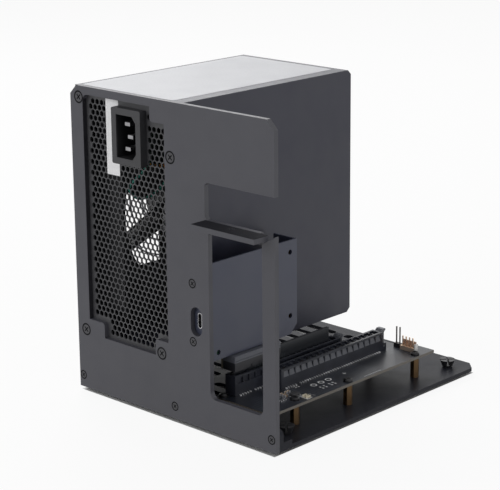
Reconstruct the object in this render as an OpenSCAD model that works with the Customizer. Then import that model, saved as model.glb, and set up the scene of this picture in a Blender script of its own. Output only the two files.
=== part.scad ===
// Open-frame expansion dock: a power supply and a graphics card slot on one upright panel and base.
// The panel faces -Y, the base reaches back along +Y, and the feet stand on the plane z = 0.

/* [Panel] */
// Width of the upright panel
panel_w = 158; // [150:1:175]
// Height of the upright panel
panel_h = 181; // [176:1:200]
// Thickness of the upright panel
panel_t = 3; // [2:0.5:4]
// Corner cut at the panel's top
panel_cut = 5.2; // [3:0.2:7]

/* [Power supply] */
// Width of the power supply, across the panel
psu_w = 86; // [86:1:90]
// Height of the power supply as it stands on its side
psu_h = 150; // [150:1:154]
// Depth of the power supply behind the panel
psu_d = 140; // [125:1:150]
// Sheet thickness of the power supply's case
psu_sheet = 0.9; // [0.7:0.1:1.2]
// Pitch of the honeycomb holes
comb_pitch = 3.7; // [3.4:0.1:5]
// Width of one honeycomb hole across its flats
comb_hole = 3; // [2.4:0.1:3.1]
// Outer size of the square fan
fan_size = 120; // [80:1:120]
// Thickness of the fan
fan_t = 25; // [20:1:26]
// Number of fan blades
fan_blades = 7; // [5:1:9]

/* [Base] */
// Depth of the base plate from the panel's face
base_d = 180; // [176:1:200]
// Thickness of the base plate
base_t = 2.2; // [1.5:0.1:3]
// Height of the rubber feet
foot_h = 2.5; // [1.5:0.5:6]
// Pitch of the cooling slots along the base
vent_pitch = 11.7; // [9:0.1:14]
// Width of one cooling slot
vent_w = 5.6; // [3:0.1:7]

/* [Card opening] */
// Width of the window for the card's bracket
window_w = 39.7; // [38:0.1:44]
// Height of the window for the card's bracket
window_h = 95.5; // [90:0.5:100]
// Depth of the ledge that the bracket is screwed to
ledge_d = 11; // [9:0.5:14]
// Width of the post at the panel's free edge
post_w = 9.1; // [7:0.1:12]

/* [Board] */
// Length of the main board along the base
board_d = 136; // [130:1:140]
// Thickness of the main board
board_t = 1.6; // [1:0.1:2]
// Height of the standoffs under the main board
standoff_h = 12.2; // [8:0.1:14]
// Length of a card slot
slot_l = 89; // [85:1:92]
// Height of a card slot above the board
slot_h = 11.8; // [10:0.1:13]

/* [Hidden] */
$fn = 48;
over = 1; // overrun of every cut
fit = 0.05; // running and screw clearance
gap = 0.3; // clearance round what moves or is set in later
lip = 0.4; // play between pieces that are screwed together
weld = 0.4; // how far shapes of one piece run into each other

// Screws
head_t = 1.8;
small_head = 2.7;
small_r = 1.25;
small_l = 6;
cross_share = 0.55;
cross_w_share = 0.2;
pan_side_share = 0.6;
pan_top_share = 0.7;
pan_cross_share = 0.8;
psu_screw_head = 3.7;
psu_screw_r = 1.7;
psu_screw_l = 7;

// Power supply
psu_drop = 0.6;
psu_cut = 2.6;
psu_hole_in = 6;
psu_hole_x = 64;
psu_hole_xt = 74;
psu_hole_z = 138;
psu_hole_zt = 114;
case_tab = 9.5;
boss_r = 3;
cover_screw_r = 1.3;
cover_screw_head = 2.8;
cover_screw_l = 3.6;

// Opening over the rear face and its corner tabs
vent_side = 9.2;
vent_less = 1.2;
vent_end = 4;
vent_r = 4;
tab_r = 2;
tab_w_top = 11.2;
tab_h_top = 8.4;
tab_w_low = 10.6;
tab_h_low = 9.4;
tab_w_left = 13;
tab_h_left = 9;
comb_clear_share = 0.6;

// Card opening, ledge and post
ledge_w = 46.3;
ledge_hole_r = 1.6;
ledge_hole_x = 21.7;
ledge_hole_y = 3.6;
window_z = 19;
window_r = 4;
strip_h = 5.6;
notch_h = 20.6;
notch_x = 107;
notch_r = 2.5;
post_cut = 6;
post_gap = 1.5;

// Base
base_cut = 6.3;
flange_t = 3.2;
flange_h = 12;
flange_r = 3;
rib_d = 6.8;
rib_h = 4.9;
base_screw_in = 3.1;
base_screw_off = 1.8;
base_screw_z = 7.4;
vent_l = 38.1;
vent_x = 15.3;
vent_gap = 7.9;
vent_far = 11.6;
vent_near = 26;
foot_x = 12.7;
foot_near = 22;
foot_far = 14;
foot_r = 7;
foot_bore = 2.2;
foot_taper_share = 0.9;
foot_hold_share = 0.4;
rivet_r = 4.7;
rivet_h = 4.6;
rivet_slit = 1.4;
rivet_waist_share = 0.6;
rivet_slit_share = 0.3;

// Main board
board_side = 13;
board_w = 42.5;
board_y = 10;
tab_w = 13;
tab_d = 7;
hole_in = 3.5;
near_hole_in = 5.95;
near_hole_share = 0.19;
standoff_r = 2.75;
standoff_bore = 1.25;
pan_r = 2.7;
pan_h = 1.7;

// Card slots
slot_w = 7.7;
slot_wall = 1.6;
slot_floor = 3.2;
slot_mouth = 1.9;
slot_step = 11.6;
slot_from_window = 10.2;
gpu_y = 42;
mod_y = 17;
key_at = 11.5;
key_t = 1.9;
pin_pitch = 1;
pin_r = 0.3;
pin_h = 0.6;
pin_out = 1.1;
pin_first = 3.2;
pin_before_key = 5;
bay_end = 3;
bay_pitch = 5.05;
bay_w = 4.3;
bay_h = 3.7;
bay_down = 1.2;
bay_deep = 0.9;
contact_w = 0.75;
contact_d = 1.3;
ear_t = 1.3;
ear_d = 3.4;
ear_h = 4.6;
pivot_r = 0.8;
latch_up = 1.2;
latch_out = 1;
latch_nose_share = 0.4;

// Module
card_t = 1.57;
riser_short = 9;
riser_over = 5.4;
socket_l = 37;
socket_h = 8.8;
socket_gap = 2.6;
socket_bay_shares = [0.206, 0.5, 0.794];
socket_bay_w_share = 0.16;
socket_bay_h_share = 0.3;
groove_z_share = 0.66;
groove_h_share = 0.08;
cover_w = 17;
cover_d = 68;
cover_h = 55.9;
cover_t = 1.2;
cover_cut = 5.5;
cover_hole_r = 1.5;
edge_hole = 5.6;
top_hole = 7;
low_hole = 11.2;
near_hole = 4.2;
cover_lip_share = 0.3;
spacer_r = 2.4;
usb_w = 3.26;
usb_h = 8.94;
usb_l = 9;
usb_y = 2.8;
usb_wall = 0.3;
usb_off = 0.9;
usb_up = 21.5;
usb_hole_w = 8.7;
usb_hole_h = 16.6;
usb_screw_off = 2.7;
usb_screw_up = 4.7;
usb_screw_pitch = 33.3;
tongue_t = 0.7;
tongue_w = 6.7;
tongue_in = 1.08;

// Inlet
inlet_w = 23.4;
inlet_h = 31.8;
inlet_r = 1;
inlet_in = 47.15;
inlet_down = 23.4;
inlet_proud = 2;
well_w = 15.8;
well_h = 24.4;
well_d = 16;
well_cut = 2.9;
well_cut_tall = 3.48;
body_w = 20;
body_h = 27.4;
body_d = 21;
blade_w = 4;
blade_t = 2;
blade_pitch = 7;
blade_step = 2.2;
blade_l = 13.5;
blade_tail = 5;
blade_nip = 0.8;
wire_r = 1.2;
wire_bend = 6;

// Fan, its guard and screws
fan_bore_share = 0.965;
hub_share = 0.17;
fan_hole_share = 0.4375;
fan_corner = 5;
strut_t = 4;
strut_w = 4;
bush_r = 3;
shaft_r = 1.5;
hub_in = 1.5;
hub_wall = 1.5;
blade_chord = 26;
blade_camber = 3;
blade_thick = 1.2;
blade_axial = 11;
blade_pitch_angle = 38;
camber_steps = 6;
fan_screw_r = 2.1;
fan_head_r = 3.8;
fan_head_h = 1.8;
guard_t = 1.2;
guard_r = 0.6;
guard_flat = 0.96;
guard_in = 12;
guard_rings = 5;
guard_arm = 2.4;
guard_eye = 4.4;

// Inside of the power supply
pcb_t = 1.6;
pcb_up = 7;
pcb_edge = 6;
pcb_near = 18;
sink_t = 2;
sink_h = 32;
sink_fin = 4;
sink_fins = 5;
sink_y_share = [0.3, 0.68];
sink_low_share = 0.12;
sink_long_share = 0.6;
core_h = 26;
core_w = 32;
core_d = 24;
core_wall = 5;
core_coil = 7;
core_share = [0.42, 0.3];
cap_r = 9;
cap_h = 34;
cap_share = [[0.16, 0.16, 1], [0.16, 0.32, 1], [0.88, 0.2, 0.6], [0.88, 0.34, 0.6], [0.88, 0.5, 0.6]];
choke_r = 9;
choke_t = 4;
choke_share = [0.5, 0.72];
outlet_w = 30;
outlet_h = 90;
outlet_d = 12;
outlet_x = 40;
outlet_z = 60;
outlet_rows = 8;
outlet_well = 6.5;
outlet_floor = 2.4;
outlet_well_shares = [0.3, 0.7];

// Headers
header_pitch = 2.54;
header_pin = 0.64;
header_h = 6;
power_pin_h = 10.2;
power_share = [0.48, 0.97];
fan_share = [0.62, 0.96];

// Power supply placement, and its four screws in the standard pattern
psu_x = 1;
psu_y = panel_t;
psu_z = panel_h - psu_h - psu_drop;
psu_top = psu_z + psu_h;
psu_in = psu_sheet;
psu_screws_at = [
  [psu_x + psu_hole_in, psu_z + psu_hole_in],
  [psu_x + psu_hole_in, psu_z + psu_hole_in + psu_hole_z],
  [psu_x + psu_hole_in + psu_hole_x, psu_z + psu_hole_in],
  [psu_x + psu_hole_in + psu_hole_xt, psu_z + psu_hole_in + psu_hole_zt]
];

// Room that a honeycomb hole needs beside the inlet and the screw tabs
comb_clear = comb_pitch * comb_clear_share;
comb_rim = comb_hole * comb_clear_share;

// Card opening
post_x = panel_w - post_w;
window_x = post_x - window_w;
ledge_z = window_z + window_h + strip_h;

// Base
base_screw_xs = [base_screw_in, panel_w / 2 + base_screw_off, panel_w - base_screw_in];
vent_rows = floor((base_d - vent_far - vent_near) / vent_pitch) + 1;
foot_spots = [
  [foot_x, foot_near], [panel_w - foot_x, foot_near],
  [foot_x, base_d - foot_far], [panel_w - foot_x, base_d - foot_far]
];

// Main board
board_x = panel_w - board_side - board_w;
board_z = base_t + standoff_h;
board_top = board_z + board_t;
board_holes = [
  [board_w - hole_in, board_d - 2 * hole_in],
  [board_w - hole_in, board_d / 2],
  [board_w - near_hole_in, board_d * near_hole_share],
  [hole_in, board_d - 2 * hole_in],
  [hole_in, hole_in]
];

// Card slots and module
gpu_x = window_x + slot_from_window;
mod_x = gpu_x - slot_step;
bay_count = floor((slot_l - bay_end) / bay_pitch);
pin_count = floor((slot_l - 2 * pin_first) / (2 * pin_pitch));
socket_z = board_top + slot_h + socket_gap;
cover_z = socket_z + socket_h + lip;
cover_face = mod_x + card_t / 2 - fit;
cover_x = cover_face - cover_w;
cover_y = panel_t + gap;
cover_holes = [
  [cover_d - edge_hole, cover_h - top_hole],
  [cover_d - edge_hole, low_hole],
  [near_hole, near_hole]
];
usb_x = cover_x + cover_w / 2 - usb_off;
usb_z = cover_z + usb_up;
usb_screw_x = usb_x - usb_screw_off;
usb_screw_zs = [usb_z + usb_screw_up - usb_screw_pitch / 2, usb_z + usb_screw_up + usb_screw_pitch / 2];
mod_board_x = usb_x + usb_w / 2 + fit;
socket_w = mod_x + slot_w / 2 - mod_board_x - card_t - fit;
riser_l = slot_l - riser_short;

// Inlet
inlet_x = psu_x + inlet_in;
inlet_z = psu_top - inlet_down;

// Fan
fan_x = psu_x + psu_sheet;
fan_y = psu_y + psu_d / 2;
fan_z = psu_z + psu_h / 2;
fan_bore = fan_size * fan_bore_share;
hub_r = fan_size * hub_share;
blade_end = fan_bore / 2 - 3 * gap;
fan_hole = fan_size * fan_hole_share;

// Inside of the power supply
pcb_x = psu_x + psu_w - psu_sheet - pcb_up;
pcb_y = psu_y + pcb_near;
pcb_d = psu_d - pcb_near - pcb_edge;
pcb_z = psu_z + pcb_edge;
pcb_h = psu_h - 2 * pcb_edge;

// Overall placement
origin_x = (panel_w - (fan_head_h - psu_x + guard_t)) / 2;
origin_y = (base_d - ledge_d) / 2;

// A rectangle with round corners, its lower left corner at the origin
module round_rect(w, h, r) {
  translate([r, 0]) square([w - 2 * r, h]);
  translate([0, r]) square([w, h - 2 * r]);
  for (x = [r, w - r])
    for (y = [r, h - r])
      translate([x, y]) circle(r);
}

// A slot with round ends along X, centred on the origin
module pill(w, h) {
  square([w - h, h], center = true);
  for (side = [-1, 1])
    translate([side * (w - h) / 2, 0]) circle(d = h);
}

// Stands a flat outline drawn in x and z upright, from y = 0 back to y = t
module upright(t) {
  translate([0, t, 0]) rotate([90, 0, 0]) linear_extrude(t) children();
}

// Stands a flat outline drawn in y and z on edge, from x = 0 to x = t
module sideways(t) {
  rotate([90, 0, 90]) linear_extrude(t) children();
}

// A cylinder along +Y from y = 0
module rod_y(r, l) {
  rotate([-90, 0, 0]) cylinder(r = r, h = l);
}

// A cylinder along +X from x = 0
module rod_x(r, l) {
  rotate([0, 90, 0]) cylinder(r = r, h = l);
}

// The cross cut into a screw's face, which lies at z = 0
module cross_recess(head, deep) {
  for (a = [0, 90])
    rotate(a)
      translate([-head * cross_share, -head * cross_w_share / 2, -deep])
        cube([2 * head * cross_share, head * cross_w_share, deep + over]);
}

// A countersunk cross-head screw, its face at z = 0 and its shank along -Z
module flat_screw(head, r, l, deep = head_t) {
  difference() {
    union() {
      translate([0, 0, -deep]) cylinder(r1 = r, r2 = head, h = deep);
      translate([0, 0, -l]) cylinder(r = r, h = l);
    }
    rotate(45) cross_recess(head, deep / 2);
  }
}

// The hole for that screw through a sheet of thickness t
module flat_screw_hole(head, r, t, deep = head_t) {
  translate([0, 0, -t - over]) cylinder(r = r + fit, h = t + 2 * over);
  translate([0, 0, -deep]) cylinder(r1 = r + fit, r2 = head + fit, h = deep);
  cylinder(r = head + fit, h = over);
}

// A pan-head cross screw, its head on z = 0 and its shank along -Z
module pan_screw(head, h, r, l) {
  difference() {
    union() {
      cylinder(r = head, h = h * pan_side_share);
      translate([0, 0, h * pan_side_share])
        cylinder(r1 = head, r2 = head * pan_top_share, h = h * (1 - pan_side_share));
      translate([0, 0, -l]) cylinder(r = r, h = l + h * pan_side_share / 2);
    }
    translate([0, 0, h]) cross_recess(head * pan_cross_share, h * pan_side_share);
  }
}

// Turns a screw drawn along -Z so that its head faces -Y or -X
module facing_front() {
  rotate([90, 0, 0]) children();
}

module facing_left() {
  rotate([0, -90, 0]) children();
}

// Opening over the power supply's rear face, with tabs left for its screws
module vent_opening(grow = 0) {
  left = psu_x + vent_side - grow;
  low = psu_z + vent_end - grow;
  w = psu_w - 2 * vent_side - vent_less + 2 * grow;
  h = psu_h - 2 * vent_end + 2 * grow;
  difference() {
    translate([left, low]) round_rect(w, h, vent_r);
    translate([left + w - tab_w_top, low + h - tab_h_top])
      round_rect(tab_w_top + vent_r, tab_h_top + vent_r, tab_r);
    translate([left + w - tab_w_low, low - vent_r])
      round_rect(tab_w_low + vent_r, tab_h_low + vent_r, tab_r);
    translate([left - vent_r, low - vent_r])
      round_rect(tab_w_left + vent_r, tab_h_left + vent_r, tab_r);
  }
}

// Window for the card's bracket, the notch over its ledge and the slit beside the post
module card_opening() {
  slit_x = post_x - post_gap;
  translate([window_x, window_z]) round_rect(window_w, window_h, window_r);
  translate([notch_x, ledge_z])
    round_rect(panel_w - notch_x + 2 * notch_r, notch_h, notch_r);
  polygon([
    [slit_x, ledge_z - strip_h - window_r], [slit_x, ledge_z + over],
    [panel_w + over, ledge_z + over], [panel_w + over, ledge_z - lip],
    [panel_w, ledge_z - lip], [post_x, ledge_z - post_cut], [post_x, ledge_z - strip_h - window_r]
  ]);
}

module panel_outline() {
  difference() {
    polygon([
      [0, 0], [panel_w, 0], [panel_w, panel_h - panel_cut], [panel_w - panel_cut, panel_h],
      [panel_cut, panel_h], [0, panel_h - panel_cut]
    ]);
    vent_opening();
    card_opening();
    translate([usb_x, usb_z]) rotate(90) pill(usb_hole_h, usb_hole_w);
  }
}

// Ledge bent out of the panel, which the card's bracket rests on
module ledge() {
  difference() {
    union() {
      translate([notch_x + lip, -ledge_d, ledge_z - panel_t])
        cube([ledge_w, ledge_d - lip, panel_t]);
      translate([notch_x + lip, -ledge_d, ledge_z - panel_t])
        cube([post_x - post_gap - notch_x - lip, ledge_d + panel_t, panel_t]);
    }
    translate([window_x + ledge_hole_x, -ledge_hole_y, ledge_z - panel_t - over])
      cylinder(r = ledge_hole_r, h = panel_t + 2 * over);
  }
}

module io_panel() {
  color([0.32, 0.32, 0.33])
    difference() {
      union() {
        upright(panel_t) panel_outline();
        ledge();
      }
      for (p = psu_screws_at)
        translate([p[0], 0, p[1]])
          facing_front() flat_screw_hole(psu_screw_head, psu_screw_r, panel_t);
      for (x = base_screw_xs)
        translate([x, 0, base_screw_z])
          facing_front() flat_screw_hole(small_head, small_r, panel_t);
      for (z = usb_screw_zs)
        translate([usb_screw_x, 0, z])
          facing_front() flat_screw_hole(small_head, small_r, panel_t);
    }
}

module psu_screws() {
  color([0.12, 0.12, 0.13])
    for (p = psu_screws_at)
      translate([p[0], 0, p[1]]) facing_front() flat_screw(psu_screw_head, psu_screw_r, psu_screw_l);
}

module base_screws() {
  color([0.12, 0.12, 0.13])
    for (x = base_screw_xs)
      translate([x, 0, base_screw_z]) facing_front() flat_screw(small_head, small_r, small_l);
}

module usb_screws() {
  color([0.12, 0.12, 0.13])
    for (z = usb_screw_zs)
      translate([usb_screw_x, 0, z])
        facing_front() flat_screw(small_head, small_r, small_l);
}

// Base plate with its front flange, stiffening step and cooling slots
module base_plate() {
  color([0.42, 0.42, 0.45])
    difference() {
      union() {
        translate([0, panel_t, 0])
          linear_extrude(base_t)
            polygon([
              [0, 0], [panel_w, 0], [panel_w, base_d - panel_t - base_cut],
              [panel_w - base_cut, base_d - panel_t], [base_cut, base_d - panel_t],
              [0, base_d - panel_t - base_cut]
            ]);
        translate([0, panel_t, 0]) upright(flange_t) {
          translate([0, flange_r]) square([panel_w, flange_h - 2 * flange_r]);
          square([panel_w, flange_r]);
          translate([flange_r, flange_r]) square([panel_w - 2 * flange_r, flange_h - flange_r]);
          for (x = [flange_r, panel_w - flange_r])
            translate([x, flange_h - flange_r]) circle(flange_r);
        }
        translate([0, panel_t, 0]) cube([panel_w, flange_t + rib_d, rib_h]);
      }
      for (row = [0 : vent_rows - 1])
        for (column = [0, 1])
          translate([
            vent_x + vent_l / 2 + column * (vent_l + vent_gap),
            base_d - vent_far - row * vent_pitch, -over
          ])
            linear_extrude(base_t + 2 * over) pill(vent_l, vent_w);
      for (x = base_screw_xs)
        translate([x, panel_t - over, base_screw_z]) rod_y(small_r + fit, flange_t + 2 * over);
      for (p = foot_spots)
        translate([p[0], p[1], -over]) cylinder(r = foot_bore + fit, h = base_t + 2 * over);
      for (p = board_holes)
        translate([board_x + p[0], board_y + p[1], -over])
          cylinder(r = standoff_bore + fit, h = rib_h + 2 * over);
    }
}

module rubber_feet() {
  color([0.06, 0.06, 0.06])
    for (p = foot_spots)
      translate([p[0], p[1], -foot_h])
        difference() {
          cylinder(r1 = foot_r * foot_taper_share, r2 = foot_r, h = foot_h);
          translate([0, 0, foot_h * foot_hold_share]) cylinder(r = foot_bore + fit, h = foot_h);
        }
}

// Split push rivets that hold the feet, their crossed tops standing on the base
module foot_rivets() {
  color([0.1, 0.1, 0.1])
    for (p = foot_spots)
      translate([p[0], p[1], 0])
        difference() {
          union() {
            translate([0, 0, base_t])
              cylinder(r1 = rivet_r * rivet_waist_share, r2 = rivet_r, h = rivet_h);
            translate([0, 0, -foot_h * foot_hold_share])
              cylinder(r = foot_bore, h = foot_h * foot_hold_share + base_t);
          }
          for (a = [45, 135])
            rotate(a)
              translate([-rivet_r - over, -rivet_slit / 2, base_t + rivet_h * rivet_slit_share])
                cube([2 * (rivet_r + over), rivet_slit, rivet_h]);
        }
}

// Side view of the power supply, inset by its sheet where it is hollow
module psu_side(inset) {
  turn = inset * tan(22.5);
  polygon([
    [inset, inset], [psu_d - psu_cut - turn, inset], [psu_d - inset, psu_cut + turn],
    [psu_d - inset, psu_h - psu_cut - turn], [psu_d - psu_cut - turn, psu_h - inset],
    [inset, psu_h - inset]
  ]);
}

// Tray of the power supply: the rear, far and right walls
module psu_case() {
  far = psu_y + psu_d - psu_in;
  color([0.25, 0.26, 0.29])
    difference() {
      union() {
        translate([psu_x + psu_w - psu_in, psu_y, psu_z]) sideways(psu_in) psu_side(0);
        translate([psu_x, psu_y, psu_z]) cube([psu_w, psu_in, psu_h]);
        translate([psu_x, far, psu_z + psu_cut]) cube([psu_w, psu_in, psu_h - 2 * psu_cut]);
        for (z = [psu_z + psu_cut + psu_in, psu_top - psu_cut - psu_in - case_tab])
          for (y = [psu_y, psu_y + psu_d - case_tab])
            translate([psu_x + psu_in, y, z]) cube([psu_in, case_tab, case_tab]);
        for (y = [pcb_y + pcb_edge, pcb_y + pcb_d - pcb_edge])
          for (z = [pcb_z + pcb_edge, pcb_z + pcb_h - pcb_edge])
            translate([pcb_x + pcb_t, y, z]) rod_x(boss_r, pcb_up - pcb_t + psu_in / 2);
      }
      translate([0, psu_y - over, 0]) upright(psu_in + 2 * over) vent_opening(fit);
      for (p = psu_screws_at)
        translate([p[0], psu_y - over, p[1]]) rod_y(psu_screw_r + fit, psu_in + 2 * over);
      for (p = cover_screw_spots)
        translate([psu_x, p[0], p[1]]) rod_x(cover_screw_r + fit, case_tab);
      translate([outlet_x - fit, far - over, outlet_z - fit])
        cube([outlet_w + 2 * fit, psu_in + 2 * over, outlet_h + 2 * fit]);
    }
}

cover_screw_spots = [
  for (y = [psu_y + case_tab / 2, psu_y + psu_d - case_tab / 2])
    for (z = [psu_z + psu_cut + psu_in + case_tab / 2, psu_top - psu_cut - psu_in - case_tab / 2]) [y, z]
];

// Cover of the power supply: the top, the bottom and the left wall with the fan's opening
module psu_cover() {
  color([0.27, 0.28, 0.31])
    difference() {
      translate([psu_x, psu_y, psu_z]) sideways(psu_w - psu_in - fit) psu_side(0);
      translate([psu_x + psu_in, psu_y, psu_z]) sideways(psu_w) psu_side(psu_in);
      translate([psu_x - over, psu_y - over, psu_z - over])
        cube([psu_w + 2 * over, psu_in + fit + over, psu_h + 2 * over]);
      translate([psu_x - over, psu_y + psu_d - psu_in - fit, psu_z + psu_cut - fit])
        cube([psu_w + 2 * over, psu_in + fit + over, psu_h - 2 * psu_cut + 2 * fit]);
      translate([psu_x - over, fan_y, fan_z]) rod_x(fan_bore / 2, psu_in + 2 * over);
      for (a = [45 : 90 : 315])
        translate([psu_x, fan_y, fan_z]) rotate([a, 0, 0])
          translate([-over, fan_hole * sqrt(2), 0]) rod_x(fan_screw_r + fit, psu_in + 2 * over);
      for (p = cover_screw_spots)
        translate([psu_x, p[0], p[1]])
          facing_left() flat_screw_hole(cover_screw_head, cover_screw_r, psu_in, psu_in);
    }
}

module cover_screws() {
  color([0.12, 0.12, 0.13])
    for (p = cover_screw_spots)
      translate([psu_x, p[0], p[1]])
        facing_left() flat_screw(cover_screw_head, cover_screw_r, cover_screw_l, psu_in);
}

// Rear grille: hexagons in staggered rows, left whole round the inlet and at the edge
module psu_rear_grille() {
  step = comb_pitch * sin(60);
  left = psu_x + vent_side;
  low = psu_z + vent_end;
  w = psu_w - 2 * vent_side - vent_less;
  columns = floor((w - comb_pitch) / comb_pitch);
  rows = floor((psu_h - 2 * vent_end - comb_pitch) / step);
  edge_x = (w - columns * comb_pitch) / 2;
  edge_z = (psu_h - 2 * vent_end - (rows - 1) * step) / 2;
  color([0.3, 0.3, 0.31])
    translate([0, psu_y, 0])
      upright(psu_in)
        difference() {
          vent_opening();
          translate([inlet_x - body_w / 2 - fit, inlet_z - body_h / 2 - fit])
            square([body_w + 2 * fit, body_h + 2 * fit]);
          for (row = [0 : rows - 1])
            for (column = [0 : columns - 1 + row % 2]) {
              x = left + edge_x + comb_pitch * (column + (1 - row % 2) / 2);
              z = low + edge_z + row * step;
              if (!behind_inlet(x, z) && !behind_tab(x, z, w))
                translate([x, z]) rotate(30) circle(d = comb_hole / cos(30), $fn = 6);
            }
        }
}

function behind_inlet(x, z) =
  abs(x - inlet_x) < inlet_w / 2 - comb_hole / 2 && abs(z - inlet_z) < inlet_h / 2 - comb_hole / 2
  || abs(x - inlet_x) < body_w / 2 + comb_clear && abs(z - inlet_z) < body_h / 2 + comb_clear;

function behind_tab(x, z, w) =
  x > psu_x + vent_side + w - tab_w_top - comb_rim
    && z > psu_top - vent_end - tab_h_top - comb_rim
  || x > psu_x + vent_side + w - tab_w_low - comb_rim
    && z < psu_z + vent_end + tab_h_low + comb_rim
  || x < psu_x + vent_side + tab_w_left + comb_rim
    && z < psu_z + vent_end + tab_h_left + comb_rim;

// Mains inlet: a flange over the grille, a body behind it and a well with two cut corners
module inlet_housing() {
  color([0.2, 0.2, 0.21])
    translate([inlet_x, 0, inlet_z])
      difference() {
        union() {
          translate([-inlet_w / 2, -inlet_proud, -inlet_h / 2])
            upright(psu_y + inlet_proud) round_rect(inlet_w, inlet_h, inlet_r);
          translate([-body_w / 2, psu_y - weld, -body_h / 2])
            cube([body_w, body_d + weld, body_h]);
        }
        translate([0, -inlet_proud - over, 0])
          upright(well_d + over)
            polygon([
              [-well_w / 2, -well_h / 2], [well_w / 2 - well_cut, -well_h / 2],
              [well_w / 2, -well_h / 2 + well_cut_tall], [well_w / 2, well_h / 2 - well_cut_tall],
              [well_w / 2 - well_cut, well_h / 2], [-well_w / 2, well_h / 2]
            ]);
        for (i = [-1 : 1])
          translate([
            blade_x(i) - blade_w / 2 - fit, well_d - inlet_proud - over, i * blade_pitch - blade_t / 2 - fit
          ])
            cube([blade_w + 2 * fit, body_d, blade_t + 2 * fit]);
      }
}

function blade_x(i) = i == 0 ? blade_step / 2 : -blade_step / 2;

module inlet_blades() {
  color([0.75, 0.75, 0.76])
    for (i = [-1 : 1])
      translate([
        inlet_x + blade_x(i) - blade_w / 2, well_d - inlet_proud - blade_l,
        inlet_z + i * blade_pitch - blade_t / 2
      ])
        difference() {
          cube([blade_w, blade_l + body_d + blade_tail - well_d + inlet_proud, blade_t]);
          for (side = [0, 1])
            translate([side * blade_w, -over, -over])
              rotate(45) translate([-blade_nip / 2, -blade_nip / 2, 0])
                cube([blade_nip, blade_nip, blade_t + 2 * over]);
        }
}

// Three wires from the inlet's tails, each bent once towards the board
module inlet_wires() {
  start_y = psu_y + body_d + blade_tail - wire_r;
  for (i = [-1 : 1]) {
    bend = wire_bend + wire_r * 2 * (i + 1);
    color(i == 0 ? [0.45, 0.6, 0.15] : (i < 0 ? [0.15, 0.3, 0.7] : [0.45, 0.25, 0.1]))
      translate([inlet_x + blade_x(i), 0, inlet_z + i * blade_pitch]) {
        translate([0, start_y + wire_r + fit, 0]) rod_y(wire_r, wire_bend);
        translate([bend, start_y + wire_r + fit + wire_bend, 0])
          rotate(90) rotate_extrude(angle = 90) translate([bend, 0]) circle(wire_r);
        translate([bend, start_y + wire_r + fit + wire_bend + bend, 0])
          rod_x(wire_r, pcb_x - inlet_x - blade_x(i) - bend - fit);
      }
  }
}

// Fan frame with its motor seat, four struts and the bush that carries the rotor
module fan_frame() {
  color([0.08, 0.08, 0.09])
    translate([fan_x, fan_y, fan_z])
      difference() {
        union() {
          difference() {
            translate([0, -fan_size / 2, -fan_size / 2])
              sideways(fan_t) round_rect(fan_size, fan_size, fan_corner);
            translate([-over, 0, 0]) rod_x(fan_bore / 2, fan_t + 2 * over);
          }
          translate([fan_t - strut_t, 0, 0]) {
            rod_x(hub_r, strut_t);
            for (a = [20 : 90 : 290])
              rotate([a, 0, 0])
                translate([0, 0, -strut_w / 2]) cube([strut_t, fan_bore / 2 + weld, strut_w]);
          }
          translate([fan_t / 2, 0, 0]) rod_x(bush_r, fan_t / 2);
        }
        translate([fan_t / 2 - over, 0, 0]) rod_x(shaft_r + fit, fan_t / 2 - strut_t / 2 + over);
        for (a = [45 : 90 : 315])
          rotate([a, 0, 0])
            translate([-over, fan_hole * sqrt(2), 0]) rod_x(fan_screw_r + fit, fan_t + 2 * over);
      }
}

// One cambered blade, its section drawn along the fan's axis and run out from the hub
module fan_blade() {
  half = 90 / camber_steps;
  back = [for (i = [0 : camber_steps]) [
    blade_chord * (i / camber_steps - 1 / 2), blade_camber * sin(2 * half * i)
  ]];
  front = [for (i = [camber_steps : -1 : 0]) [
    blade_chord * (i / camber_steps - 1 / 2), blade_camber * sin(2 * half * i) + blade_thick
  ]];
  translate([blade_axial, hub_r - weld, 0])
    rotate([-90, 0, 0])
      linear_extrude(fan_bore / 2)
        rotate(90 - blade_pitch_angle) polygon(concat(back, front));
}

module fan_rotor() {
  color([0.1, 0.1, 0.11])
    translate([fan_x, fan_y, fan_z]) {
      difference() {
        union() {
          translate([hub_in, 0, 0]) rod_x(hub_r, fan_t - strut_t - gap - hub_in);
          intersection() {
            translate([hub_in / 2, 0, 0]) rod_x(blade_end, fan_t - strut_t - gap - hub_in / 2);
            for (i = [0 : fan_blades - 1])
              rotate([i * 360 / fan_blades, 0, 0]) fan_blade();
          }
        }
        translate([hub_in + hub_wall, 0, 0]) rod_x(hub_r - hub_wall, fan_t);
      }
      translate([hub_in + hub_wall / 2, 0, 0])
        rod_x(shaft_r, fan_t - strut_t / 2 - hub_in - hub_wall);
    }
}

// Wire guard over the fan's opening, with flat eyes under the fan's screws
module fan_guard() {
  ring_step = (fan_bore / 2 - guard_in) / guard_rings;
  color([0.6, 0.6, 0.62])
    translate([psu_x - guard_t, fan_y, fan_z])
      difference() {
        union() {
          for (i = [0 : guard_rings - 1])
            translate([guard_r, 0, 0])
              rotate([0, 90, 0])
                rotate_extrude() translate([guard_in + i * ring_step, 0]) circle(guard_r, $fn = 16);
          for (a = [45 : 90 : 315])
            rotate([a, 0, 0]) {
              translate([0, guard_in, -guard_arm / 2])
                cube([guard_flat, fan_hole * sqrt(2) - guard_in, guard_arm]);
              translate([0, fan_hole * sqrt(2), 0]) rod_x(guard_eye, guard_flat);
            }
        }
        for (a = [45 : 90 : 315])
          rotate([a, 0, 0])
            translate([-over, fan_hole * sqrt(2), 0]) rod_x(fan_screw_r + fit, guard_t + 2 * over);
      }
}

module fan_screws() {
  color([0.15, 0.15, 0.16])
    translate([psu_x - guard_t, fan_y, fan_z])
      for (a = [45 : 90 : 315])
        rotate([a, 0, 0])
          translate([0, fan_hole * sqrt(2), 0])
            facing_left() pan_screw(fan_head_r, fan_head_h, fan_screw_r, fan_t / 2);
}

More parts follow.
